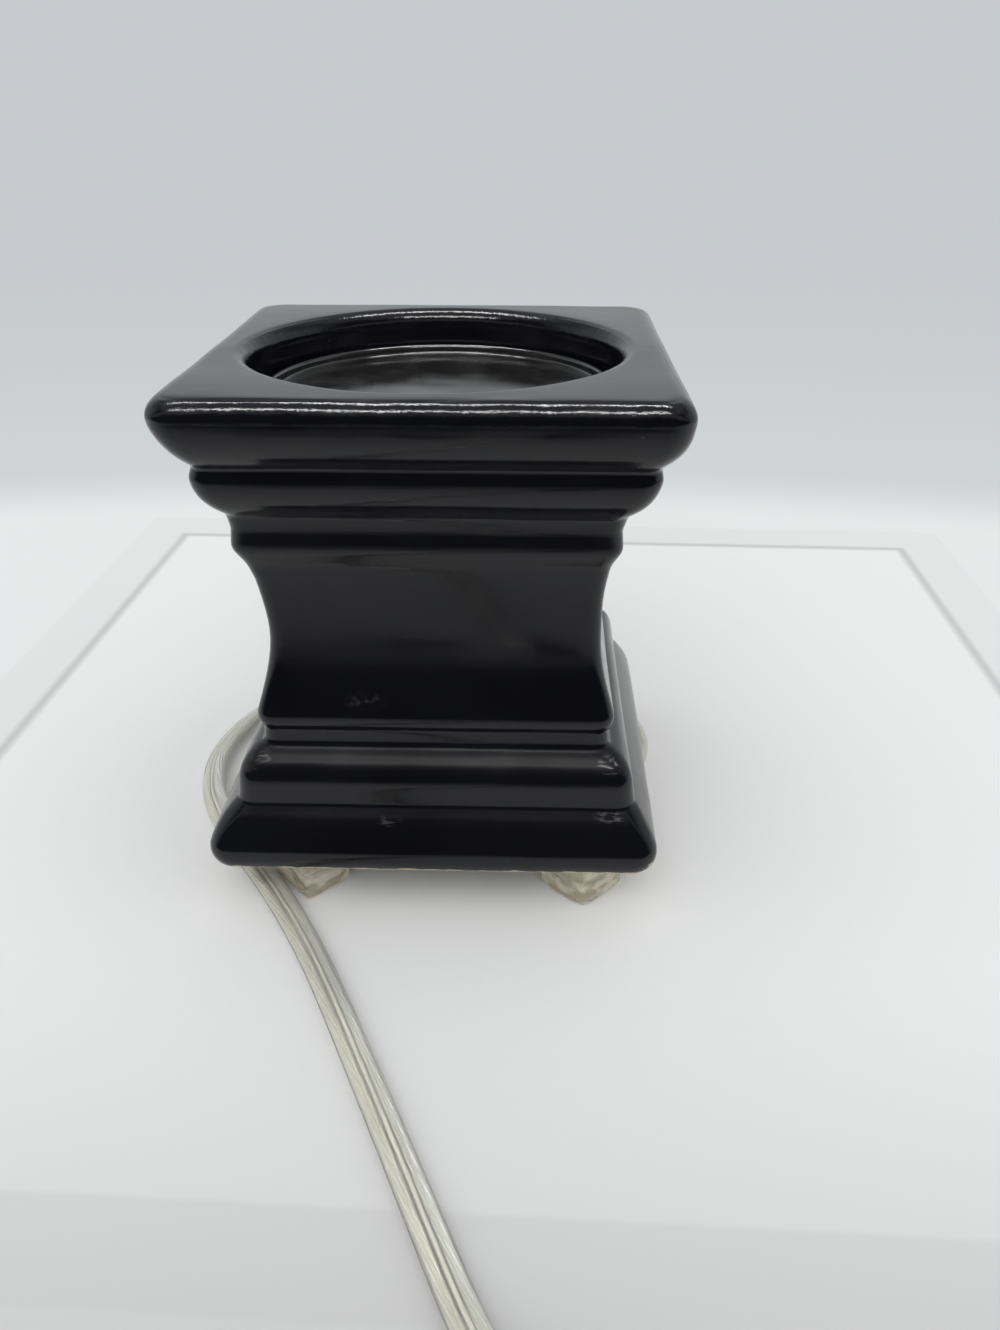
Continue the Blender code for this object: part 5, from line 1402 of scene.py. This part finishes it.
def make_wheel(s, middle, radius, thickness):
    """Ribbed thumbwheel on its bore."""
    half = thickness / 2
    count = TOOTH_POINTS * s.wheel_teeth
    lower = [(WHEEL_BORE, -half, 0)]
    lower += [(radius - inset, depth - half, 0) for inset, depth in WHEEL_GROOVE]
    lower += [(radius - WHEEL_CHAMFER, -half, CHAMFER_RIB), (radius, WHEEL_CHAMFER - half, 1)]
    upper = [(reach, -z, ribbed) for reach, z, ribbed in lower[::-1]]
    rings = []
    for reach, z, ribbed in lower + upper:
        ring = []
        for step in range(count):
            angle = math.tau * step / count
            dip = WHEEL_RIB * ribbed * (0.5 - 0.5 * math.cos(angle * s.wheel_teeth)) ** 2
            ring.append(polar(reach - dip, math.degrees(angle), z))
        rings.append(ring)
    put("ribbed_thumbwheel", skin(rings, loop=True)[0], moulded_plastic("wheel", s.wheel, 0.35),
        body=WHEEL, stands_for=["switch_wheel"], matrix=Matrix.Translation(middle))


LOFT_ROUND = 0.98  # the largest corner, as a share of the smaller half


def loft(sections, steps=(4, 5)):
    """A solid along x through (x, half width, half height, corner) sections."""
    rings = []
    for x, half_y, half_z, corner in sections:
        corner = min(corner, LOFT_ROUND * min(half_y, half_z))
        ring = square_ring(half_y, half_z, corner, 0.0, *steps)
        rings.append([Vector((x, point.x, point.y)) for point in ring])
    return skin(rings)[0]


RIB_STEPS = 8


def rib_dip(depth, count, part):
    """Depth of the round grooves between ribs at a part of their run."""
    return depth * (0.5 - 0.5 * math.cos(math.tau * count * part)) if count else 0.0


def ribbed_taper(start, end, count, depth, corner):
    """Sections of a taper with round grooves across it."""
    sections = []
    steps = max(1, RIB_STEPS * count)
    for step in range(steps + 1):
        part = step / steps
        dip = rib_dip(depth, count, part)
        x, half_y, half_z = (a + part * (b - a) for a, b in zip(start, end))
        sections.append((x, half_y - dip, half_z - dip, corner * (half_z - dip)))
    return sections


# The plug: vinyl round the cord at its tip, its neck as shares of its halves, and its roundings
PLUG_MARGIN = 0.0009
PLUG_NECK = (0.6, 0.7)
TAIL_CORNER = 0.85
SHOULDER_PARTS = (0.35, 0.7)
PLUG_CORNER = 0.0045
PLUG_EDGE = 0.0015
GRIP_END = 0.007
GRIP_TOP = 0.4
BLADE_CORNER = 0.0004


def make_plug(s, cord):
    """Moulded plug with a ribbed tail and grips, round two blades."""
    vinyl = moulded_plastic("plug_vinyl", s.vinyl, 0.30)
    low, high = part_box("plug_body")
    half_y = (high.y - low.y) / 2
    half_z = (high.z - low.z) / 2
    length = high.x - low.x
    tip = (0.0, cord.width / 2 + PLUG_MARGIN, cord.thickness / 2 + PLUG_MARGIN)
    neck_y = half_y * PLUG_NECK[0]
    neck_z = half_z * PLUG_NECK[1]
    sections = ribbed_taper(tip, (s.tail_length, neck_y, neck_z), s.tail_ribs, s.rib_depth,
                            TAIL_CORNER)
    for part in SHOULDER_PARTS:
        grow = math.sin(math.radians(90) * part)
        sections.append((s.tail_length + s.shoulder * part, neck_y + (half_y - neck_y) * grow,
                         neck_z + (half_z - neck_z) * grow, PLUG_CORNER))
    shoulder = s.tail_length + s.shoulder
    grip_length = length - GRIP_END - shoulder
    grips = max(1, RIB_STEPS * s.grip_ribs)
    for step in range(grips + 1):
        part = step / grips
        dip = rib_dip(s.rib_depth, s.grip_ribs, part)
        sections.append((shoulder + grip_length * part, half_y - dip, half_z - dip * GRIP_TOP,
                         PLUG_CORNER))
    for inset, x in quarter((0.0, length - PLUG_EDGE), PLUG_EDGE, 0, 5):
        grow = PLUG_EDGE - inset
        sections.append((x, half_y - grow, half_z - grow, PLUG_CORNER))
    matrix = Matrix.Translation((low.x, (low.y + high.y) / 2, (low.z + high.z) / 2))
    body = put("plug_moulding", loft(sections, (8, 6)), vinyl,
               stands_for=["plug_body"], matrix=matrix)
    cuts = []
    for name in ("plug_blade_left", "plug_blade_right"):
        blade_low, blade_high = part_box(name)
        middle = (blade_low + blade_high) / 2
        size = blade_high - blade_low
        section = (size.y / 2 + SEAT_GAP, size.z / 2 + SEAT_GAP, BLADE_CORNER)
        hole = loft([(0.0, *section), (high.x + CUT_MARGIN - blade_low.x + SEAT_GAP, *section)])
        place = Matrix.Translation((blade_low.x - SEAT_GAP, middle.y, middle.z))
        cuts.append(("DIFFERENCE", hole, place))
    carve(body, *cuts)


# The boot: its heel's rounding, its ribs, and the edges of the head of its stem
HEEL_START = 0.72
HEEL_ROUND = 0.002
HEEL_STEPS = 5
BOOT_CORNER = 0.6
BOOT_RIBS = 5
BOOT_RIB_DEPTH = 0.0005
HEAD_CHAMFER = 0.0003
HEAD_ROUND = ((0.0, 0.0012), (0.0008, 0.0004))


def make_boot(s, cord):
    """Moulded elbow: a headed stem in the plate and a ribbed, tapered tail under it."""
    vinyl = clear_vinyl("boot_vinyl", cord.vinyl, cloud=0.35, gloss=0.12)
    low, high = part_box("cord_boot")
    plate_low, plate_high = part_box("base_plate")
    tail_top = plate_low.z - SEAT_GAP
    half_z = (tail_top - low.z) / 2
    middle = (low.z + tail_top) / 2
    stem_x = low.x + s.boot_heel
    stem_y = (low.y + high.y) / 2
    tip = (high.x - stem_x, cord.width / 2 + s.boot_margin, cord.thickness / 2 + s.boot_margin)
    elbow = (s.boot_heel, s.boot_half_width, half_z)
    sections = []
    for step in range(HEEL_STEPS + 1):
        angle = math.radians(90) * step / HEEL_STEPS
        grow = HEEL_START + (1 - HEEL_START) * math.sin(angle)
        sections.append((-s.boot_heel + HEEL_ROUND * (1 - math.cos(angle)),
                         s.boot_half_width * grow, half_z * grow, BOOT_CORNER * half_z))
    sections += ribbed_taper(elbow, tip, BOOT_RIBS, BOOT_RIB_DEPTH, BOOT_CORNER)
    boot = put("boot_elbow", loft(sections, (4, 6)), vinyl,
               stands_for=["cord_boot"], matrix=Matrix.Translation((stem_x, stem_y, middle)))
    head = plate_high.z + SEAT_GAP
    profile = [(s.boot_stem, middle), (s.boot_stem, head), (s.boot_head - HEAD_CHAMFER, head),
               (s.boot_head, head + HEAD_CHAMFER)]
    profile += [(s.boot_head - inset, high.z - depth) for inset, depth in HEAD_ROUND]
    profile += [(s.boot_stem, high.z)]
    carve(boot, ("UNION", turned(profile, 48), Matrix.Translation((stem_x, stem_y, 0.0))))


def fitting_finishes():
    """Finishes of the inner and small fittings, each with the nodes that have it."""
    steel = bare_metal("steel", (0.56, 0.56, 0.57), 0.28, 0.0008, 0.35)
    brass = bare_metal("brass", (0.72, 0.53, 0.24), 0.29, 0.0008, 0.30)
    shield = bare_metal("shield", (0.70, 0.71, 0.72), 0.20, 0.0020, 0.20)
    wire = bare_metal("element_wire", (0.34, 0.31, 0.29), 0.42, 0.0006, 0.75)
    mica = matt_sheet("mica", (0.50, 0.42, 0.29), 0.45, 0.0008, 0.00004)
    rubber = matt_sheet("silicone", (0.42, 0.085, 0.06), 0.55, 0.0006, 0.00002)
    board = matt_sheet("board", (0.026, 0.026, 0.027), 0.62, 0.0007, 0.00005)
    sleeve = woven_band("sleeve", (0.74, 0.73, 0.68))
    core = clear_vinyl("core_vinyl", (0.90, 0.88, 0.78), cloud=0.45, gloss=0.15)
    return (
        (steel, ("pan_stud", "stud_nut", "spring_washer", "pressure_plate", "fuse_clip", "tie_rod",
                 "base_washer", "base_nut", "switch_pin", "switch_screw")),
        (brass, ("rod_coupler", "thermal_fuse", "switch_contact", "plug_blade_left",
                 "plug_blade_right")),
        (shield, ("heat_shield",)),
        (wire, ("heating_element",)),
        (mica, ("upper_mica", "lower_mica")),
        (rubber, ("pan_gasket",)),
        (board, ("base_plate",)),
        (sleeve, ("element_lead", "fuse_lead_in", "fuse_lead_out", "splice_live",
                  "splice_neutral")),
        (core, ("core_live", "core_neutral")),
    )


def make_fittings():
    """Finish the fittings whose shape is right as it is."""
    for finish, names in fitting_finishes():
        for name in names:
            item = frame["nodes"].get(name)
            if item is None:
                raise RuntimeError(f"the frame has no {name}")
            item.data.materials.clear()
            item.data.materials.append(finish)


WHITE = (1.0, 1.0, 1.0, 1.0)
BLACK = (0.0, 0.0, 0.0)

# The floor: how far out it turns into the backdrop, and where along y its shades change
FLOOR_RADIUS = 8.0
FLOOR_STEPS = 64
FADE_START = 0.215
FADE_MIDDLE = 0.290
FADE_END = 1.10
FADE_STRETCH = (0.45, 1.0, 1.0)
FRONT_SHADE = (-0.19, -0.06)
GLOSS_SHADE = (-0.30, -0.15)
GROOVE_START = (-0.10, 0.0)
EDGE_BLUR = 0.0008
PAPER_TONE = 0.985


def board_depth(f, s, place):
    """How far a place lies inside the edge of the panel; outside the panel it is below 0."""
    middle = (s.panel_x, s.panel_y, 0.0)
    straight = f.node("VectorRotate", {"Vector": place, "Center": middle, "Angle": -s.panel_turn},
                      rotation_type="Z_AXIS").outputs[0]
    off = f.node("VectorMath", {0: straight, 1: middle}, operation="SUBTRACT").outputs[0]
    across = f.sum("SUBTRACT", s.panel_half_x, f.sum("ABSOLUTE", f.axis("X", off)))
    along = f.sum("SUBTRACT", s.panel_half_y, f.sum("ABSOLUTE", f.axis("Y", off)))
    return f.sum("MINIMUM", across, along)


def floor_finish(s):
    """A board with a pale panel on a table that turns into the backdrop with distance, with painted
    shade beside the panel and towards the camera.
    """
    f = new_finish("floor")
    place = f.node("NewGeometry").outputs["Position"]
    back = f.node("VectorMath", {0: place, 1: FADE_STRETCH}, operation="MULTIPLY").outputs[0]
    far = f.node("VectorMath", {0: back}, operation="LENGTH").outputs["Value"]
    near_by = f.sum("DIVIDE", 1.0, far)
    paths = f.node("LightPath").outputs
    seen = f.most(paths["Is Camera Ray"], paths["Is Glossy Ray"], paths["Is Transmission Ray"])
    depth = board_depth(f, s, place)
    paper = f.blend(f.grain(0.004, 4.0, place), toned(s.floor, PAPER_TONE), s.floor)
    paper = f.blend(f.fade(depth, -EDGE_BLUR, EDGE_BLUR), s.border, paper)
    on_board = f.fade(depth, -s.border_width - EDGE_BLUR, EDGE_BLUR - s.border_width)
    paper = f.blend(on_board, s.table, paper)
    # Painted shade: darker beside the panel's back and sides, and darker towards the camera
    groove = f.fade(f.sum("ABSOLUTE", depth), 0.0, s.groove_reach, s.groove_shade, 0.0)
    groove = f.sum("MULTIPLY", groove, f.fade(f.axis("Y", place), *GROOVE_START))
    painted_shade = f.fade(f.axis("Y", place), *FRONT_SHADE, s.front_shade, 0.0)
    paper = f.blend(f.sum("ADD", painted_shade, groove), paper, BLACK)
    near = f.node("BsdfDiffuse", {"Color": paper}).outputs[0]
    tone = f.fade(near_by, 1.0 / FADE_END, 1.0 / FADE_MIDDLE)
    tone = f.blend(tone, s.far_backdrop, s.near_backdrop)
    backdrop = f.node("Emission", {"Color": tone, "Strength": 1.0}).outputs[0]
    change = f.fade(near_by, 1.0 / FADE_MIDDLE, 1.0 / FADE_START, 1.0, 0.0)
    change = f.sum("MULTIPLY", seen, change)
    shown = f.node("MixShader", {0: change, 1: near, 2: backdrop}).outputs[0]
    ahead = f.fade(f.axis("Y", place), *GLOSS_SHADE, 1.0, 0.0)
    hidden = f.sum("MULTIPLY", paths["Is Glossy Ray"], ahead)
    dark = f.node("Emission", {"Color": WHITE, "Strength": s.dark_room}).outputs[0]
    shown = f.node("MixShader", {0: hidden, 1: shown, 2: dark}).outputs[0]
    f.feed(f.tree.nodes["Material Output"].inputs["Surface"], shown)
    return f.owner


# Directions at which what gloss sees of the room changes
BEHIND_EDGE = (-0.30, 0.10)
BACKDROP_EDGE = (0.40, 0.85)
CEILING_EDGE = (math.cos(math.radians(49)), math.cos(math.radians(38)))


def room_light(s):
    """Even light from all round; gloss sees a pale backdrop behind and a dark room in front."""
    f = Finish(bpy.data.worlds.new("room"))
    for old in list(f.tree.nodes):
        f.tree.nodes.remove(old)
    way = f.node("TexCoord").outputs["Generated"]
    paths = f.node("LightPath").outputs
    behind = f.fade(f.axis("Y", way), *BEHIND_EDGE)
    level = f.fade(f.axis("Z", way), *BACKDROP_EDGE, 1.0, 0.0)
    above = f.fade(f.axis("Z", way), *CEILING_EDGE)
    ahead = f.blend(above, (s.dark_room,) * 3, (s.ceiling,) * 3)
    gloss = f.blend(f.sum("MULTIPLY", behind, level), ahead, s.near_backdrop)
    colour = f.blend(paths["Is Glossy Ray"], (s.room,) * 3, gloss)
    seen = f.most(paths["Is Camera Ray"], paths["Is Transmission Ray"])
    colour = f.blend(seen, colour, s.far_backdrop)
    shine = f.node("Background", {"Color": colour, "Strength": 1.0}).outputs[0]
    f.node("OutputWorld", {"Surface": shine})
    return f.owner


# Two strips over the slab's front edge, which show as its broken highlights, and a soft lamp
STRIP_SIZE = (0.80, 0.11)
STRIP_REACH = 0.90
STRIP_MIDDLE = -0.08
STRIP_TILTS = (("strip_behind", -15.0), ("strip_ahead", 31.0))
STRIP_BANDS = 0.07
BAND_NOISE = (0.36, 0.62)
BAND_LEVELS = (0.15, 1.2)
SOFT_SIZE = (0.90, 0.90)
SOFT_PLACE = (-0.10, -0.90, 0.90)


def uneven(lamp):
    """Make a lamp brighter and dimmer along x."""
    f = Finish(lamp)
    place = f.node("NewGeometry").outputs["Position"]
    bands = f.fade(f.grain(STRIP_BANDS, 1.0, place, (1.0, 0.0, 0.0)), *BAND_NOISE, *BAND_LEVELS)
    f.feed(f.tree.nodes["Emission"].inputs["Strength"], bands)


def area_lamp(name, place, aim, size, level, gloss_only):
    """A rectangular lamp, seen either by gloss alone or by everything but gloss."""
    lamp = bpy.data.lights.new(name, "AREA")
    lamp.shape = "RECTANGLE"
    lamp.size, lamp.size_y = size
    lamp.energy = math.pi * size[0] * size[1] * level
    if gloss_only:
        uneven(lamp)
    item = bpy.data.objects.new(name, lamp)
    item.location = place
    item.rotation_euler = (Vector(aim) - Vector(place)).to_track_quat("-Z", "Y").to_euler()
    item.visible_glossy = gloss_only
    item.visible_diffuse = not gloss_only
    item.visible_camera = False
    bpy.context.scene.collection.objects.link(item)


# A ceiling-grey card that hides the strips from the lower mouldings
CARD_Y = -0.130
CARD_HALF = 0.60
CARD_HEIGHTS = (0.168, 0.229)


def gloss_card(s):
    """An upright card that only gloss sees."""
    f = new_finish("gloss_card")
    shine = f.node("Emission", {"Color": WHITE, "Strength": s.ceiling}).outputs[0]
    f.feed(f.tree.nodes["Material Output"].inputs["Surface"], shine)
    f.owner.cycles.emission_sampling = "NONE"
    low, high = CARD_HEIGHTS
    corners = ((-CARD_HALF, low), (CARD_HALF, low), (CARD_HALF, high), (-CARD_HALF, high))
    mesh = bpy.data.meshes.new("gloss_card")
    mesh.from_pydata([(x, CARD_Y, z) for x, z in corners], [], [(0, 1, 2, 3)])
    mesh.materials.append(f.owner)
    card = bpy.data.objects.new("gloss_card", mesh)
    card.visible_camera = False
    card.visible_diffuse = False
    card.visible_transmission = False
    card.visible_shadow = False
    bpy.context.scene.collection.objects.link(card)


SENSOR_WIDTH = 36.0
NEAREST_SEEN = 0.005


def make_stage(s):
    """Floor, room light, lamps and the photograph's camera."""
    scene = bpy.context.scene
    work = bmesh.new()
    bmesh.ops.create_circle(work, cap_ends=True, segments=FLOOR_STEPS, radius=FLOOR_RADIUS)
    mesh = bpy.data.meshes.new("floor")
    work.to_mesh(mesh)
    work.free()
    mesh.materials.append(floor_finish(s))
    floor = bpy.data.objects.new("floor", mesh)
    floor.location.z = -FLOOR_GAP
    scene.collection.objects.link(floor)

    scene.world = room_light(s)
    low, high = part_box("ceramic_body")
    edge = Vector((STRIP_MIDDLE, low.y, high.z))
    for name, tilt in STRIP_TILTS:
        angle = math.radians(tilt)
        arm = Vector((0.0, -math.sin(angle), math.cos(angle)))
        area_lamp(name, edge + STRIP_REACH * arm, edge, STRIP_SIZE, s.strip_lamp, True)
    gloss_card(s)
    area_lamp("soft_front", SOFT_PLACE, (0.0, 0.0, 0.0), SOFT_SIZE, s.soft_lamp, False)

    eye = bpy.data.cameras.new("camera")
    eye.lens = s.lens
    eye.sensor_width = SENSOR_WIDTH
    eye.clip_start = NEAREST_SEEN
    camera = bpy.data.objects.new("camera", eye)
    camera.location = s.camera_place
    camera.rotation_euler = s.camera_turn
    scene.collection.objects.link(camera)
    scene.camera = camera
    scene.view_settings.view_transform = "Standard"


PUT_AWAY = ("run_jacket", "coil_band", "switch_case_lower", "switch_case_upper",
            "ribbed_thumbwheel", "plug_moulding", "plug_blade_left", "plug_blade_right")


def hide_from_gloss():
    """Keep the put-away end of the cord out of the reflections, as it is out of the view."""
    for name in PUT_AWAY:
        item = frame["nodes"].get(name) or bpy.data.objects[name]
        for piece in (item, *item.children_recursive):
            piece.visible_glossy = False


class WARMER_OT_stage(Operator):
    """Make the floor, the room light, the lamps and the camera"""
    bl_idname = "warmer.stage"
    bl_label = "Stage"

    def execute(self, context):
        make_stage(context.scene.warmer.stage)
        return {"FINISHED"}


class WARMER_OT_pedestal(Operator):
    """Make the glazed ceramic pedestal"""
    bl_idname = "warmer.pedestal"
    bl_label = "Pedestal"

    def execute(self, context):
        make_pedestal(context.scene.warmer.pedestal)
        return {"FINISHED"}


class WARMER_OT_pan(Operator):
    """Make the coated warming pan"""
    bl_idname = "warmer.pan"
    bl_label = "Warming pan"

    def execute(self, context):
        make_pan(context.scene.warmer.pan)
        return {"FINISHED"}


class WARMER_OT_feet(Operator):
    """Make the four clear feet"""
    bl_idname = "warmer.feet"
    bl_label = "Feet"

    def execute(self, context):
        make_feet(context.scene.warmer.feet)
        return {"FINISHED"}


class WARMER_OT_switch(Operator):
    """Make the switch on the cord and its thumbwheel"""
    bl_idname = "warmer.switch"
    bl_label = "Switch"

    def execute(self, context):
        make_switch(context.scene.warmer.switch)
        return {"FINISHED"}


class WARMER_OT_plug(Operator):
    """Make the plug and the strain relief boot"""
    bl_idname = "warmer.plug"
    bl_label = "Plug and boot"

    def execute(self, context):
        settings = context.scene.warmer
        make_plug(settings.plug, settings.cord)
        make_boot(settings.plug, settings.cord)
        return {"FINISHED"}


class WARMER_OT_cord(Operator):
    """Make the clear cord with its coil and tie"""
    bl_idname = "warmer.cord"
    bl_label = "Cord"

    def execute(self, context):
        settings = context.scene.warmer
        declare_cord(settings.cord, settings.switch)
        hide_from_gloss()
        return {"FINISHED"}


class WARMER_OT_fittings(Operator):
    """Finish the heater, the wiring and the small fittings"""
    bl_idname = "warmer.fittings"
    bl_label = "Fittings"

    def execute(self, context):
        make_fittings()
        return {"FINISHED"}


MAKERS = (
    (WARMER_OT_stage, "stage"), (WARMER_OT_pedestal, "pedestal"), (WARMER_OT_pan, "pan"),
    (WARMER_OT_feet, "feet"), (WARMER_OT_switch, "switch"), (WARMER_OT_plug, "plug"),
    (WARMER_OT_cord, "cord"), (WARMER_OT_fittings, None),
)


class WARMER_PT_looks(Panel):
    """Every piece of the warmer with its settings"""
    bl_idname = "WARMER_PT_looks"
    bl_label = "Wax Warmer"
    bl_space_type = "VIEW_3D"
    bl_region_type = "UI"
    bl_category = "Warmer"

    def draw(self, context):
        for maker, group in MAKERS:
            box = self.layout.box()
            box.operator(maker.bl_idname)
            if group:
                settings = getattr(context.scene.warmer, group)
                for name in settings.__annotations__:
                    box.prop(settings, name)


CLASSES = (
    PedestalSettings, PanSettings, FootSettings, CordSettings, SwitchSettings, PlugSettings,
    StageSettings, WarmerSettings, *[maker for maker, _ in MAKERS], WARMER_PT_looks,
)


def register():
    """Make the settings, the operators and the panel known."""
    for item in CLASSES:
        bpy.utils.register_class(item)
    bpy.types.Scene.warmer = PointerProperty(type=WarmerSettings)


def unregister():
    """Take back what register did."""
    del bpy.types.Scene.warmer
    for item in reversed(CLASSES):
        bpy.utils.unregister_class(item)


def main():
    """Make every piece in order."""
    register()
    for maker, _ in MAKERS:
        space, name = maker.bl_idname.split(".")
        getattr(getattr(bpy.ops, space), name)()


if __name__ == "__main__":
    main()
